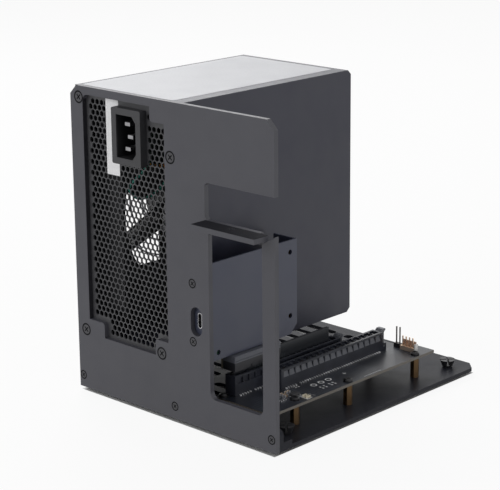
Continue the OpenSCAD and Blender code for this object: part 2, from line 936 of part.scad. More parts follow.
// Circuit board of the power supply, flat against the bosses of the right wall
module psu_board() {
  color([0.12, 0.3, 0.18])
    translate([pcb_x, pcb_y, pcb_z]) cube([pcb_t, pcb_d, pcb_h]);
}

// Two finned heat sinks that stand on that board
module psu_heatsinks() {
  color([0.5, 0.5, 0.52])
    for (share = sink_y_share)
      translate([pcb_x - sink_h, pcb_y + pcb_d * share, pcb_z + pcb_h * sink_low_share]) {
        cube([sink_h, sink_t, pcb_h * sink_long_share]);
        for (i = [0 : sink_fins - 1])
          translate([i * sink_h / sink_fins, -sink_fin, 0])
            cube([sink_t / 2, sink_fin * 2 + sink_t, pcb_h * sink_long_share]);
      }
}

// Transformer: a wrapped winding between the two halves of its core
module psu_transformer() {
  color([0.75, 0.65, 0.2])
    translate([pcb_x - core_h, pcb_y + pcb_d * core_share[0], pcb_z + pcb_h * core_share[1]]) {
      difference() {
        cube([core_h, core_d, core_w]);
        translate([core_wall, -over, core_wall])
          cube([core_h - 2 * core_wall, core_d + 2 * over, core_w - 2 * core_wall]);
      }
      translate([core_h / 2, core_d / 2, core_wall - weld])
        cylinder(r = core_coil, h = core_w - 2 * core_wall + 2 * weld);
    }
}

module psu_capacitors() {
  color([0.15, 0.15, 0.2])
    for (spot = cap_share)
      translate([
        pcb_x - cap_h * spot[2], pcb_y + pcb_d * spot[0], pcb_z + pcb_h * spot[1]
      ]) {
        rod_x(cap_r * spot[2], cap_h * spot[2]);
      }
}

module psu_choke() {
  color([0.35, 0.5, 0.2])
    translate([
      pcb_x - choke_r * 2, pcb_y + pcb_d * choke_share[0], pcb_z + pcb_h * choke_share[1]
    ])
      translate([choke_r * 2 - choke_t, 0, 0])
        rotate([0, 90, 0]) rotate_extrude() translate([choke_r, 0]) circle(choke_t, $fn = 24);
}

// Output sockets in the far wall, in rows of square wells
module psu_outlets() {
  color([0.08, 0.08, 0.08])
    translate([outlet_x, psu_y + psu_d - psu_in - outlet_d, outlet_z])
      difference() {
        cube([outlet_w, outlet_d + psu_in, outlet_h]);
        for (i = [0 : outlet_rows - 1])
          for (j = [0, 1])
            translate([
              outlet_w * outlet_well_shares[j] - outlet_well / 2, outlet_floor,
              outlet_h * (2 * i + 1) / outlet_rows / 2 - outlet_well / 2
            ])
              cube([outlet_well, outlet_d + over, outlet_well]);
      }
}

// Main board with its tab at the far right corner
module main_board() {
  color([0.1, 0.11, 0.13])
    translate([board_x, board_y, board_z])
      difference() {
        union() {
          cube([board_w, board_d, board_t]);
          translate([board_w - tab_w, 0, 0]) cube([tab_w, board_d + tab_d, board_t]);
        }
        for (p = board_holes)
          translate([p[0], p[1], -over]) cylinder(r = standoff_bore + fit, h = board_t + 2 * over);
      }
}

module board_standoffs() {
  color([0.62, 0.5, 0.25])
    for (p = board_holes)
      translate([board_x + p[0], board_y + p[1], standoff_low(p)])
        difference() {
          cylinder(r = standoff_r, h = board_z - standoff_low(p), $fn = 6);
          translate([0, 0, -over]) cylinder(r = standoff_bore + fit, h = board_z + 2 * over);
        }
}

function standoff_low(p) = board_y + p[1] - standoff_r < panel_t + flange_t + rib_d ? rib_h : base_t;

module board_screws() {
  color([0.15, 0.15, 0.15])
    for (p = board_holes)
      translate([board_x + p[0], board_y + p[1], board_top])
        pan_screw(pan_r, pan_h, standoff_bore, board_t + standoff_h / 2);
}

// A card slot: mouth with its key, contact bays along the top, window bays along one side
module card_slot(bays) {
  side = slot_w / 2;
  difference() {
    union() {
      translate([-side, 0, 0]) cube([slot_w, slot_l, slot_h]);
      for (x = [-side, side - ear_t])
        translate([x, slot_l, 0])
          difference() {
            cube([ear_t, ear_d, ear_h]);
            translate([-over, ear_d / 2, ear_h - ear_d / 2]) rod_x(pivot_r + fit, ear_t + 2 * over);
          }
    }
    translate([-slot_mouth / 2, slot_wall, slot_floor]) cube([slot_mouth, key_at - slot_wall, slot_h]);
    translate([-slot_mouth / 2, key_at + key_t, slot_floor])
      cube([slot_mouth, slot_l - slot_wall - key_at - key_t, slot_h]);
    for (i = [0 : bays - 1]) {
      bay_y = (slot_l - bays * bay_pitch) / 2 + i * bay_pitch + (bay_pitch - bay_w) / 2;
      for (s = [-1, 1])
        translate([s * (slot_mouth / 2 + contact_w) - contact_w, bay_y, slot_h - contact_d])
          cube([2 * contact_w, bay_w, contact_d + over]);
      translate([side, bay_y, slot_h - bay_down])
        rotate([0, -90, -90])
          linear_extrude(bay_w)
            polygon([[over, -over], [-over, bay_deep], [-bay_h, 0], [-bay_h, -over]]);
    }
  }
}

module slot_at(x, y) {
  translate([x, y, board_top]) children();
}

module gpu_slot() {
  color([0.14, 0.16, 0.19]) slot_at(gpu_x, gpu_y) card_slot(bay_count);
}

module module_slot() {
  color([0.14, 0.16, 0.19]) slot_at(mod_x, mod_y) card_slot(bay_count);
}

// Solder tails in two rows beside a slot, with the gap at its key
module slot_pins() {
  for (i = [0 : pin_count - 1])
    for (s = [-1, 1])
      translate([
        s * (slot_w / 2 + pin_out / 2) - pin_out / 2,
        pin_first + 2 * pin_pitch * (i + (i >= pin_before_key ? 1 : 0)), 0
      ])
        cube([pin_out, 2 * pin_r, pin_h]);
}

module gpu_slot_pins() {
  color([0.8, 0.8, 0.8]) slot_at(gpu_x, gpu_y) slot_pins();
}

module module_slot_pins() {
  color([0.8, 0.8, 0.8]) slot_at(mod_x, mod_y) slot_pins();
}

// Latch at a slot's far end: a pin in the ears, an arm, a hook and a thumb rest
module slot_latch() {
  arm_w = slot_w - 2 * ear_t - 2 * gap;
  pin_z = ear_h - ear_d / 2;
  translate([-slot_w / 2 + lip, slot_l + ear_d / 2, pin_z]) rod_x(pivot_r, slot_w - 2 * lip);
  translate([-arm_w / 2, slot_l + ear_d / 2, pin_z]) rod_x(ear_d / 2 - gap, arm_w);
  translate([-arm_w / 2, slot_l + gap, pin_z])
    sideways(arm_w)
      polygon([
        [0, 0], [ear_d - 2 * gap, 0], [ear_d - 2 * gap, slot_h - pin_z - latch_up],
        [ear_d + latch_out, slot_h - pin_z + latch_up * latch_nose_share],
        [ear_d + latch_out - latch_up * (1 - latch_nose_share), slot_h - pin_z + latch_up],
        [latch_up, slot_h - pin_z + latch_up], [0, slot_h - pin_z]
      ]);
}

module gpu_slot_latch() {
  color([0.4, 0.41, 0.44]) slot_at(gpu_x, gpu_y) slot_latch();
}

module module_slot_latch() {
  color([0.2, 0.2, 0.22]) slot_at(mod_x, mod_y) slot_latch();
}

// Card that stands in the second slot, notched at the slot's key
module riser_card() {
  depth = board_top + slot_floor + lip;
  color([0.07, 0.1, 0.09])
    translate([mod_x - card_t / 2, mod_y + slot_wall + gap, depth])
      difference() {
        cube([card_t, riser_l, socket_z - depth + riser_over]);
        translate([-over, key_at - slot_wall - 2 * gap, -over])
          cube([card_t + 2 * over, key_t + 2 * gap, slot_h - slot_floor + over]);
        translate([-over, -over, socket_z - depth - fit])
          cube([card_t + 2 * over, socket_l + over, riser_over + over]);
      }
}

// Socket on that card, which takes the module's board
module riser_socket() {
  color([0.08, 0.08, 0.09])
    translate([mod_board_x + card_t + fit, mod_y, socket_z])
      difference() {
        cube([socket_w, socket_l, socket_h]);
        for (share = socket_bay_shares)
          translate([socket_w - lip, socket_l * share, -over])
            cube([lip + over, socket_l * socket_bay_w_share, socket_h * socket_bay_h_share]);
        translate([socket_w - lip, -over, socket_h * groove_z_share])
          cube([lip + over, socket_l + 2 * over, socket_h * groove_h_share]);
      }
}

// Folded cover of the module: front flange, side and back, open at the top
module module_cover() {
  color([0.28, 0.29, 0.33])
    translate([cover_x, cover_y, cover_z])
      difference() {
        union() {
          translate([cover_w - cover_t, 0, 0])
            sideways(cover_t)
              polygon([
                [0, 0], [cover_d - cover_cut, 0], [cover_d, cover_cut], [cover_d, cover_h],
                [0, cover_h]
              ]);
          cube([cover_w, cover_t, cover_h]);
          translate([0, cover_d - cover_t, cover_cut]) cube([cover_w, cover_t, cover_h - cover_cut]);
          cube([cover_t, cover_d, cover_h * cover_lip_share]);
        }
        for (p = cover_holes)
          translate([cover_w - cover_t - over, p[0], p[1]]) rod_x(cover_hole_r, cover_t + 2 * over);
        translate([usb_x - cover_x, -over, usb_z - cover_z])
          upright(cover_t + 2 * over) rotate(90) pill(usb_h + lip, usb_w + lip);
        for (z = usb_screw_zs)
          translate([usb_screw_x - cover_x, -over, z - cover_z])
            rod_y(small_r + fit, cover_t + 2 * over);
      }
}

// Circuit board of the module, its lower edge in the socket
module module_board() {
  color([0.07, 0.2, 0.12])
    translate([mod_board_x, cover_y + cover_t + gap, 0]) {
      translate([0, 0, cover_z + gap])
        cube([card_t, cover_d - 2 * cover_t - 2 * gap, cover_h - edge_hole]);
      translate([0, mod_y - cover_y - cover_t - gap, socket_z])
        cube([card_t, socket_l, cover_z - socket_z + gap + lip]);
    }
}

// Spacers that hold the module's board to the cover
module module_spacers() {
  color([0.7, 0.6, 0.3])
    for (p = cover_holes)
      if (p[1] > edge_hole)
        translate([mod_board_x + card_t, cover_y + p[0], cover_z + p[1]])
          difference() {
            rod_x(spacer_r, cover_face - cover_t - mod_board_x - card_t);
            translate([over, 0, 0]) rod_x(cover_hole_r, cover_w);
          }
}

// USB receptacle: a drawn steel shell with its tongue
module usb_shell() {
  color([0.75, 0.75, 0.77])
    translate([usb_x, usb_y, usb_z])
      difference() {
        upright(usb_l) rotate(90) pill(usb_h, usb_w);
        translate([0, -over, 0])
          upright(usb_l - usb_wall + over)
            rotate(90) pill(usb_h - 2 * usb_wall, usb_w - 2 * usb_wall);
      }
}

module usb_tongue() {
  color([0.1, 0.1, 0.1])
    translate([usb_x - tongue_t / 2, usb_y + tongue_in, usb_z - tongue_w / 2])
      cube([tongue_t, usb_l - tongue_in - usb_wall, tongue_w]);
}

// A row of square header pins in their housing
module pin_header(count, pins_h) {
  cube([count * header_pitch, header_pitch, header_pitch]);
  for (i = [0 : count - 1])
    translate([
      i * header_pitch + header_pitch / 2 - header_pin / 2, header_pitch / 2 - header_pin / 2, header_pitch
    ])
      cube([header_pin, header_pin, pins_h]);
}

module power_header() {
  color([0.12, 0.12, 0.12])
    translate([board_x + board_w * power_share[0], board_y + board_d * power_share[1], board_top])
      pin_header(2, power_pin_h);
}

module fan_header() {
  color([0.8, 0.78, 0.7])
    translate([board_x + board_w * fan_share[0], board_y + board_d * fan_share[1], board_top])
      pin_header(4, header_h);
}

module placed() {
  translate([-origin_x, -origin_y, foot_h]) children();
}

placed() io_panel();
placed() psu_screws();
placed() base_screws();
placed() base_plate();
placed() rubber_feet();
placed() foot_rivets();
placed() psu_case();
placed() psu_cover();
placed() psu_rear_grille();
placed() cover_screws();
placed() inlet_housing();
placed() inlet_blades();
placed() fan_frame();
placed() fan_rotor();
placed() fan_guard();
placed() fan_screws();
placed() psu_board();
placed() psu_heatsinks();
placed() psu_transformer();
placed() psu_capacitors();
placed() psu_choke();
placed() inlet_wires();
placed() psu_outlets();
placed() main_board();
placed() board_standoffs();
placed() board_screws();
placed() gpu_slot();
placed() gpu_slot_pins();
placed() gpu_slot_latch();
placed() module_slot();
placed() module_slot_pins();
placed() module_slot_latch();
placed() riser_card();
placed() riser_socket();
placed() module_cover();
placed() module_board();
placed() module_spacers();
placed() usb_shell();
placed() usb_tongue();
placed() usb_screws();
placed() power_header();
placed() fan_header();
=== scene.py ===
# %% [markdown]
# # A graphics card dock, dressed in Blender
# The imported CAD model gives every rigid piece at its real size. This file adds what a shaper
# leaves out: the camera and light of a product photograph, a finish for each piece, and the
# small soft or printed things such as stickers, wires and spring contacts.

# %% Load the fixed frame
import math

import bpy
import numpy as np
from mathutils import Matrix, Vector


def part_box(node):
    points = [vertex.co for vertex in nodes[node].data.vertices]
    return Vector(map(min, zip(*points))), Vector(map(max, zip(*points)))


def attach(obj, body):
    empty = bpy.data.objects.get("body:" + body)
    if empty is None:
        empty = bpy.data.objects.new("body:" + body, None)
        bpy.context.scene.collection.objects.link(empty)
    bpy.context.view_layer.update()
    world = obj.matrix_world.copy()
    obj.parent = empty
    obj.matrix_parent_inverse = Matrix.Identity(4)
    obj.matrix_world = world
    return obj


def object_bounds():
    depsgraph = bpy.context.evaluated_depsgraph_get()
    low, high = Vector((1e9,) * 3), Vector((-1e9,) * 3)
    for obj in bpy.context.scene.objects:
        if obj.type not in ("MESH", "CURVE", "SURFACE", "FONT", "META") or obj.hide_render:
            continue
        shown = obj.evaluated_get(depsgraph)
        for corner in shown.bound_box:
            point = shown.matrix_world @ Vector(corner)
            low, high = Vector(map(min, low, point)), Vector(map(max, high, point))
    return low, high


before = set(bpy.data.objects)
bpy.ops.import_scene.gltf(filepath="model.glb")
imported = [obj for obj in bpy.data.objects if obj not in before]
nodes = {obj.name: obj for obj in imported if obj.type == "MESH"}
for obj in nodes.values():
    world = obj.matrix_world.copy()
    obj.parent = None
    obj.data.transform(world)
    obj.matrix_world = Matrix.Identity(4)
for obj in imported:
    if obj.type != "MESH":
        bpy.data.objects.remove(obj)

MM = 0.001
cad_low, cad_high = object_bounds()
print("CAD box in mm:", [round((b - a) / MM, 1) for a, b in zip(cad_low, cad_high)])

# %% [markdown]
# ## Camera
# A pinhole camera was fitted to the corners of the panel, the power supply and the base. Its
# principal point lies off the picture's middle, so the camera has a small shift. Blender's
# shift is a share of the picture's width, and the lens length follows from the sensor width.

# %% Camera
IMAGE_W, IMAGE_H = 500, 490
FOCAL_PX = 1706.4
CENTRE_PX = (287.2, 207.6)
SENSOR_MM = 36
CLIP_NEAR, CLIP_FAR = 0.05, 20
AZIMUTH, ELEVATION, ROLL = map(math.radians, (42.62, 14.46, -0.23))
CAMERA_AT = Vector((657.9, -702.9, 356.4)) * MM

def camera_axes(azimuth, elevation, roll):
    """Right, up and back: back is the view direction reversed, then the picture turns by roll."""
    back = Vector((math.sin(azimuth) * math.cos(elevation),
                   -math.cos(azimuth) * math.cos(elevation), math.sin(elevation)))
    right = Vector((math.cos(azimuth), math.sin(azimuth), 0))
    up = back.cross(right)
    turned = right * math.cos(roll) + up * math.sin(roll)
    return turned, back.cross(turned), back

scene = bpy.context.scene
lens = bpy.data.cameras.new("camera")
lens.sensor_width = SENSOR_MM
lens.lens = FOCAL_PX / IMAGE_W * lens.sensor_width
lens.shift_x = (IMAGE_W / 2 - CENTRE_PX[0]) / IMAGE_W
lens.shift_y = (CENTRE_PX[1] - IMAGE_H / 2) / IMAGE_W
lens.clip_start, lens.clip_end = CLIP_NEAR, CLIP_FAR
camera = bpy.data.objects.new("camera", lens)
scene.collection.objects.link(camera)
camera.matrix_world = Matrix(camera_axes(AZIMUTH, ELEVATION, ROLL)).transposed().to_4x4()
camera.location = CAMERA_AT
scene.camera = camera
scene.view_settings.view_transform = "Standard"
print("lens", round(lens.lens, 1), "mm")

# %% [markdown]
# ## Helpers for materials
# Each finish is a Principled shader. Small helpers add texture nodes on Object coordinates, so
# a pattern keeps its real size on every piece, and mix them into colour, roughness and bump.

# %% Material helpers
def new_material(name, colour, roughness, metallic=0.0):
    """A Principled material with its constant values on the shader's own sockets."""
    material = bpy.data.materials.new(name)
    material.use_nodes = True
    shader = shader_of(material)
    shader.inputs["Base Color"].default_value = (*colour, 1)
    shader.inputs["Roughness"].default_value = roughness
    shader.inputs["Metallic"].default_value = metallic
    return material, material.node_tree, shader

def shader_of(material):
    """A material's Principled shader."""
    return material.node_tree.nodes["Principled BSDF"]

def add_node(tree, kind, **settings):
    """A new node, with its properties and input values set by name."""
    node = tree.nodes.new(kind)
    for key, value in settings.items():
        if key in node.inputs:
            node.inputs[key].default_value = value
        else:
            setattr(node, key, value)
    return node

def maths(tree, operation, *values):
    """The result of a Math node, whose values are numbers or sockets."""
    node = add_node(tree, "ShaderNodeMath", operation=operation)
    for slot, value in enumerate(values):
        if isinstance(value, float):
            node.inputs[slot].default_value = value
        else:
            tree.links.new(value, node.inputs[slot])
    return node.outputs[0]

def place_vector(tree, scale=(1, 1, 1)):
    """Object coordinates, scaled along each axis."""
    source = add_node(tree, "ShaderNodeTexCoord")
    mapping = add_node(tree, "ShaderNodeMapping")
    mapping.inputs["Scale"].default_value = scale
    tree.links.new(source.outputs["Object"], mapping.inputs["Vector"])
    return mapping.outputs["Vector"]

def along_axis(tree, vector, axis):
    """One coordinate of a vector."""
    split = add_node(tree, "ShaderNodeSeparateXYZ")
    tree.links.new(vector, split.inputs[0])
    return split.outputs[axis]

def noise(tree, vector, scale, detail=3.0, roughness=0.55):
    """Grey noise from 0 to 1."""
    node = add_node(tree, "ShaderNodeTexNoise", Scale=scale, Detail=detail, Roughness=roughness)
    tree.links.new(vector, node.inputs["Vector"])
    return node.outputs["Fac"]

def spread(tree, value, low, high, out_low, out_high):
    """Maps a value's range low..high to out_low..out_high, and stops at both ends."""
    node = add_node(tree, "ShaderNodeMapRange")
    ends = {"From Min": low, "From Max": high, "To Min": out_low, "To Max": out_high}
    for key, number in ends.items():
        node.inputs[key].default_value = number
    tree.links.new(value, node.inputs["Value"])
    return node.outputs["Result"]

def blend_colours(tree, factor, first, second):
    """Mixes two colours, each a constant or a socket, by a factor socket."""
    node = tree.nodes.new("ShaderNodeMix")
    node.data_type = "RGBA"
    tree.links.new(factor, node.inputs["Factor"])
    for slot, colour in ((6, first), (7, second)):
        if isinstance(colour, tuple):
            node.inputs[slot].default_value = (*colour, 1)
        else:
            tree.links.new(colour, node.inputs[slot])
    return node.outputs[2]

def tinted(colour, factor):
    """The colour made lighter or darker."""
    return tuple(min(1.0, c * factor) for c in colour)

def vary_colour(tree, shader, value, span, colour, tints):
    """As the value crosses span, the colour goes from its first tint to its second."""
    share = spread(tree, value, *span, 0, 1)
    shade = blend_colours(tree, share, tinted(colour, tints[0]), tinted(colour, tints[1]))
    tree.links.new(shade, shader.inputs["Base Color"])
    return shade

def vary_roughness(tree, shader, value, span, low, high):
    """As the value crosses span, the roughness goes from low to high."""
    tree.links.new(spread(tree, value, *span, low, high), shader.inputs["Roughness"])

def bump(tree, shader, height, strength, distance):
    """Feeds a height into the shader's normal."""
    node = add_node(tree, "ShaderNodeBump", Strength=strength, Distance=distance)
    tree.links.new(height, node.inputs["Height"])
    tree.links.new(node.outputs["Normal"], shader.inputs["Normal"])

def set_specular(material, level):
    """How much light the surface itself reflects; a half is usual, and less looks dull."""
    shader_of(material).inputs["Specular IOR Level"].default_value = level
    return material

def dress(material, *names):
    """Gives CAD nodes their finish."""
    for name in names:
        for holder in nodes[name].material_slots:
            holder.material = material

# %% [markdown]
# ## Masks
# A box in Object coordinates marks a place on a piece, such as a cut edge or the floor of a
# well. Its value is 1 inside and 0 outside, and it fades over a twentieth of a millimetre.

# %% Masks
MASK_FADE = 0.05 * MM

def inside_box(tree, spans):
    """1 inside the box and 0 outside: spans maps an axis to its two ends in metres."""
    place = place_vector(tree)
    inside = None
    for axis, (low, high) in spans.items():
        for level, out_low, out_high in ((low, 0, 1), (high, 1, 0)):
            edge = spread(tree, along_axis(tree, place, axis), level, level + MASK_FADE,
                          out_low, out_high)
            inside = edge if inside is None else maths(tree, "MULTIPLY", inside, edge)
    return inside

def paint_inside(material, spans, colour, matt=None):
    """Another colour inside the box, and another roughness where one is given."""
    tree, shader = material.node_tree, shader_of(material)
    inside = inside_box(tree, spans)
    shade = shader.inputs["Base Color"].links[0].from_socket
    painted = blend_colours(tree, inside, shade, colour)
    tree.links.new(painted, shader.inputs["Base Color"])
    if matt:
        mixed = add_node(tree, "ShaderNodeMix", data_type="FLOAT")
        tree.links.new(inside, mixed.inputs[0])
        tree.links.new(shader.inputs["Roughness"].links[0].from_socket, mixed.inputs[2])
        mixed.inputs[3].default_value = matt
        tree.links.new(mixed.outputs[0], shader.inputs["Roughness"])
    return material

# %% [markdown]
# ## Powder coat
# The panel, base and power supply are steel under a fine satin powder coat. The coat has a tiny
# orange peel, about half a millimetre across, a slow drift in shade where it went on thicker,
# and a faint film of dust that makes it a little rougher in patches. Masks add painted shade to
# the cut edge beside the grille, the ledge's top and the recess in each countersunk head.

# %% Powder coat
DRIFT_SCALE, PEEL_SCALE, DUST_SCALE = 14, 2400, 60
PEEL_HEIGHT = 0.2 * MM

def powder_coat(name, colour, roughness, peel=0.12):
    """Colour drifts by a few hundredths; the bump is noise with half-millimetre grains."""
    material, tree, shader = new_material(name, colour, roughness)
    vector = place_vector(tree)
    drift = noise(tree, vector, DRIFT_SCALE, detail=2)
    grain = noise(tree, vector, PEEL_SCALE, detail=2)
    dust = noise(tree, vector, DUST_SCALE, detail=4)
    shade = vary_colour(tree, shader, drift, (0.3, 0.7), colour, (0.94, 1.07))
    flecks = spread(tree, grain, 0.62, 0.75, 0, 0.35)
    tree.links.new(blend_colours(tree, flecks, shade, tinted(colour, 1.5)),
                   shader.inputs["Base Color"])
    vary_roughness(tree, shader, dust, (0.35, 0.7), roughness - 0.05, roughness + 0.07)
    bump(tree, shader, grain, peel, PEEL_HEIGHT)
    return material

PANEL = (0.05, 0.05, 0.061)
BASE = (0.019, 0.02, 0.026)
SUPPLY = (0.015, 0.016, 0.031)
GRILLE = (0.043, 0.043, 0.047)
COVER = (0.042, 0.047, 0.075)
SCREW = (0.036, 0.036, 0.042)
CUT_EDGE_SHADE = (0.006, 0.006, 0.009)
RECESS_SHADE = (0.003, 0.003, 0.003)
LEDGE_SHADE = (0.003, 0.003, 0.005)

screw_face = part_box("psu_screws")[0][1]
# Painted shade: the cut edge beside the grille, the ledge's top and each head's recess are coloured
# near black, as the shade that falls there.
cut_edge = {"X": (-0.0682, -0.0676), "Y": (screw_face + 0.3 * MM, 0), "Z": (0.032, 0.18)}
ledge_top = {"X": (0.028, 0.0765), "Y": (-0.0956, screw_face - 0.1 * MM), "Z": (0.1225, 0.124)}
screw_recess = {"Y": (screw_face + 0.15 * MM, 0)}

panel_coat = paint_inside(powder_coat("panel coat", PANEL, 0.48), cut_edge, CUT_EDGE_SHADE)
dress(paint_inside(panel_coat, ledge_top, LEDGE_SHADE, matt=0.95), "io_panel")
dress(set_specular(powder_coat("base coat", BASE, 0.38), 0.1), "base_plate")
dress(powder_coat("supply coat", SUPPLY, 0.42), "psu_case", "psu_cover")
dress(powder_coat("grille coat", GRILLE, 0.5), "psu_rear_grille")
dress(powder_coat("cover coat", COVER, 0.38, peel=0.05), "module_cover")
painted = powder_coat("painted screws", SCREW, 0.42, peel=0.05)
# Each head's cross recess is coloured black as painted shade.
dress(paint_inside(painted, screw_recess, RECESS_SHADE), "psu_screws", "base_screws", "usb_screws")
print("coated:", len([m for m in bpy.data.materials if m.name.endswith("coat")]), "finishes")

# %% [markdown]
# ## Metals
# Wire and shells are bright nickel or zinc with fine drawing marks, the standoffs are turned
# brass with rings along their length, and the pan head screws are black zinc.

# %% Metals
TOUCH_SCALE = 180
FINE_BUMP = 0.1 * MM

def worn_metal(name, colour, roughness, grain_scale, stretch=(1, 1, 1)):
    """Metal with fine directional grain, rougher and darker where fingers have touched it."""
    material, tree, shader = new_material(name, colour, roughness, metallic=1.0)
    grain = noise(tree, place_vector(tree, scale=stretch), grain_scale, detail=4)
    touched = noise(tree, place_vector(tree), TOUCH_SCALE, detail=3)
    vary_colour(tree, shader, touched, (0.35, 0.7), colour, (0.78, 1.1))
    vary_roughness(tree, shader, touched, (0.3, 0.7), roughness * 0.8, roughness * 1.35)
    bump(tree, shader, grain, 0.2, FINE_BUMP)
    return material

DRAWN = (1, 0.05, 1)
# Each row: finish, colour, roughness, grain, stretch and the nodes that get it
METALS = [
    ("black zinc", (0.05, 0.05, 0.055), 0.38, 900, (1, 1, 1), ["cover_screws", "fan_screws"]),
    ("black pan screws", (0.04, 0.04, 0.042), 0.35, 900, (1, 1, 1), ["board_screws"]),
    ("bright nickel", (0.72, 0.72, 0.74), 0.22, 1200, DRAWN, ["usb_shell"]),
    ("dull nickel", (0.34, 0.34, 0.35), 0.3, 1200, DRAWN, ["inlet_blades"]),
    ("bright zinc", (0.5, 0.5, 0.52), 0.3, 1200, (1, 1, 1), ["fan_guard"]),
    ("milled aluminium", (0.55, 0.55, 0.57), 0.35, 1400, (1, 1, 0.04), ["psu_heatsinks"]),
    ("turned brass", (0.11, 0.07, 0.037), 0.45, 1600, (0.05, 0.05, 1),
     ["board_standoffs", "module_spacers"]),
    ("tin", (0.75, 0.75, 0.76), 0.5, 1500, (1, 1, 1), ["gpu_slot_pins", "module_slot_pins"]),
]
for finish, colour, roughness, grain_scale, stretch, names in METALS:
    dress(worn_metal(finish, colour, roughness, grain_scale, stretch), *names)
print("metals:", len(METALS))

# %% [markdown]
# ## Moulded plastics and rubber
# The slots, the inlet and the fan are moulded. Their skin has a fine spark-eroded texture that
# spreads the light, so a black moulding still shows a soft grey edge. The well of the inlet is
# coloured near black as painted shade, and the upper band of the riser's socket is paler.

# %% Plastics
FLOW_SCALE, SKIN_SCALE = 90, 3000

def moulded(name, colour, roughness, grain_scale=SKIN_SCALE, strength=0.15):
    """Plastic with a spark-eroded skin, whose grains are about a third of a millimetre."""
    material, tree, shader = new_material(name, colour, roughness)
    vector = place_vector(tree)
    grain = noise(tree, vector, grain_scale, detail=2)
    flow = noise(tree, vector, FLOW_SCALE, detail=3)
    vary_colour(tree, shader, flow, (0.35, 0.65), colour, (0.85, 1.2))
    vary_roughness(tree, shader, flow, (0.3, 0.7), roughness - 0.06, roughness + 0.06)
    bump(tree, shader, grain, strength, FINE_BUMP)
    return material

# Each row: finish, colour, roughness and the nodes that get it
PLASTICS = [
    ("slot plastic", (0.018, 0.02, 0.029), 0.36, ["gpu_slot", "module_slot"]),
    ("latch plastic", (0.12, 0.125, 0.14), 0.45, ["gpu_slot_latch", "module_slot_latch"]),
    ("black plastic", (0.014, 0.014, 0.016), 0.45,
     ["foot_rivets", "fan_frame", "fan_rotor", "psu_outlets", "usb_tongue"]),
    ("capacitor sleeve", (0.02, 0.02, 0.05), 0.3, ["psu_capacitors"]),
    ("yellow tape", (0.6, 0.42, 0.05), 0.35, ["psu_transformer"]),
    ("choke enamel", (0.1, 0.25, 0.06), 0.3, ["psu_choke"]),
    ("wire sleeve", (0.1, 0.4, 0.12), 0.4, ["inlet_wires"]),
]
for finish, colour, roughness, names in PLASTICS:
    dress(moulded(finish, colour, roughness), *names)
dress(moulded("rubber", (0.02, 0.02, 0.02), 0.8, 1500, 0.3), "rubber_feet")

inlet_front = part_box("inlet_housing")[0][1]
inlet_well_shade = {"X": (-0.0405, -0.0193), "Y": (inlet_front + 0.8 * MM, 0), "Z": (0.1445, 0.1745)}
inlet_plastic = moulded("inlet plastic", (0.022, 0.022, 0.025), 0.5)
# Near black inside the well: painted shade.
dress(paint_inside(inlet_plastic, inlet_well_shade, (0.003, 0.003, 0.004)), "inlet_housing")
socket_plastic = moulded("socket plastic", (0.014, 0.014, 0.018), 0.4)
dress(paint_inside(socket_plastic, {"Z": (0.0378, 0.05)}, (0.1, 0.105, 0.125)), "riser_socket")
print("plastics:", len(PLASTICS) + 3)

# %% [markdown]
# ## Headers
# A pin header is one CAD node with two materials: a moulded base, and plated pins that start
# at a set height above the floor.

# %% Headers
HEADER_TOP = 21 * MM
BASE_TINTS, PIN_TINTS = (0.85, 1.15), (0.85, 1.1)

def header_finish(name, base_colour, pin_colour):
    """The base's colour up to the header's top, and metal above it."""
    material, tree, shader = new_material(name, base_colour, 0.4)
    vector = place_vector(tree)
    height = along_axis(tree, vector, "Z")
    above = spread(tree, height, HEADER_TOP, HEADER_TOP + MASK_FADE, 0, 1)
    grain = noise(tree, vector, 2500, detail=2)
    base = blend_colours(tree, grain, *(tinted(base_colour, tint) for tint in BASE_TINTS))
    pins = blend_colours(tree, grain, *(tinted(pin_colour, tint) for tint in PIN_TINTS))
    tree.links.new(blend_colours(tree, above, base, pins), shader.inputs["Base Color"])
    tree.links.new(above, shader.inputs["Metallic"])
    bump(tree, shader, grain, 0.15, FINE_BUMP)
    return material

dress(header_finish("fan header finish", (0.32, 0.25, 0.2), (0.86, 0.66, 0.5)), "fan_header")
dress(header_finish("power header finish", (0.014, 0.014, 0.016), (0.12, 0.11, 0.1)),
      "power_header")
print("headers: pins start at", round(HEADER_TOP / MM, 1), "mm")

# %% [markdown]
# ## Circuit boards
# A board is glass cloth under coloured lacquer. Copper traces lie under the lacquer and lift it
# a little, so they show as paler lines. The cut edge shows the pale glass cloth, and on the riser
# the cut edge is coloured dark.

# %% Circuit boards
TRACE_SETTINGS = {"Scale": 55.0, "Mortar Size": 0.035, "Mortar Smooth": 0.2,
                  "Brick Width": 0.9, "Row Height": 0.11}

def board_finish(name, lacquer, trace, glass, thin_axis):
    """Lacquer over traces; where the normal leaves the thin axis, the cut glass cloth shows."""
    material, tree, shader = new_material(name, lacquer, 0.32)
    vector = place_vector(tree)
    runs = add_node(tree, "ShaderNodeTexBrick", **TRACE_SETTINGS)
    tree.links.new(vector, runs.inputs["Vector"])
    gate = spread(tree, noise(tree, vector, 45, detail=1), 0.47, 0.52, 0, 1)
    lines = maths(tree, "MULTIPLY", runs.outputs["Fac"], gate)
    face = blend_colours(tree, lines, lacquer, trace)
    normal = add_node(tree, "ShaderNodeNewGeometry").outputs["True Normal"]
    flat = maths(tree, "ABSOLUTE", along_axis(tree, normal, thin_axis))
    weave = noise(tree, vector, 1800, detail=2)
    cloth = blend_colours(tree, weave, tinted(glass, 0.75), tinted(glass, 1.15))
    tree.links.new(blend_colours(tree, flat, cloth, face), shader.inputs["Base Color"])
    bump(tree, shader, lines, 0.25, FINE_BUMP)
    return material

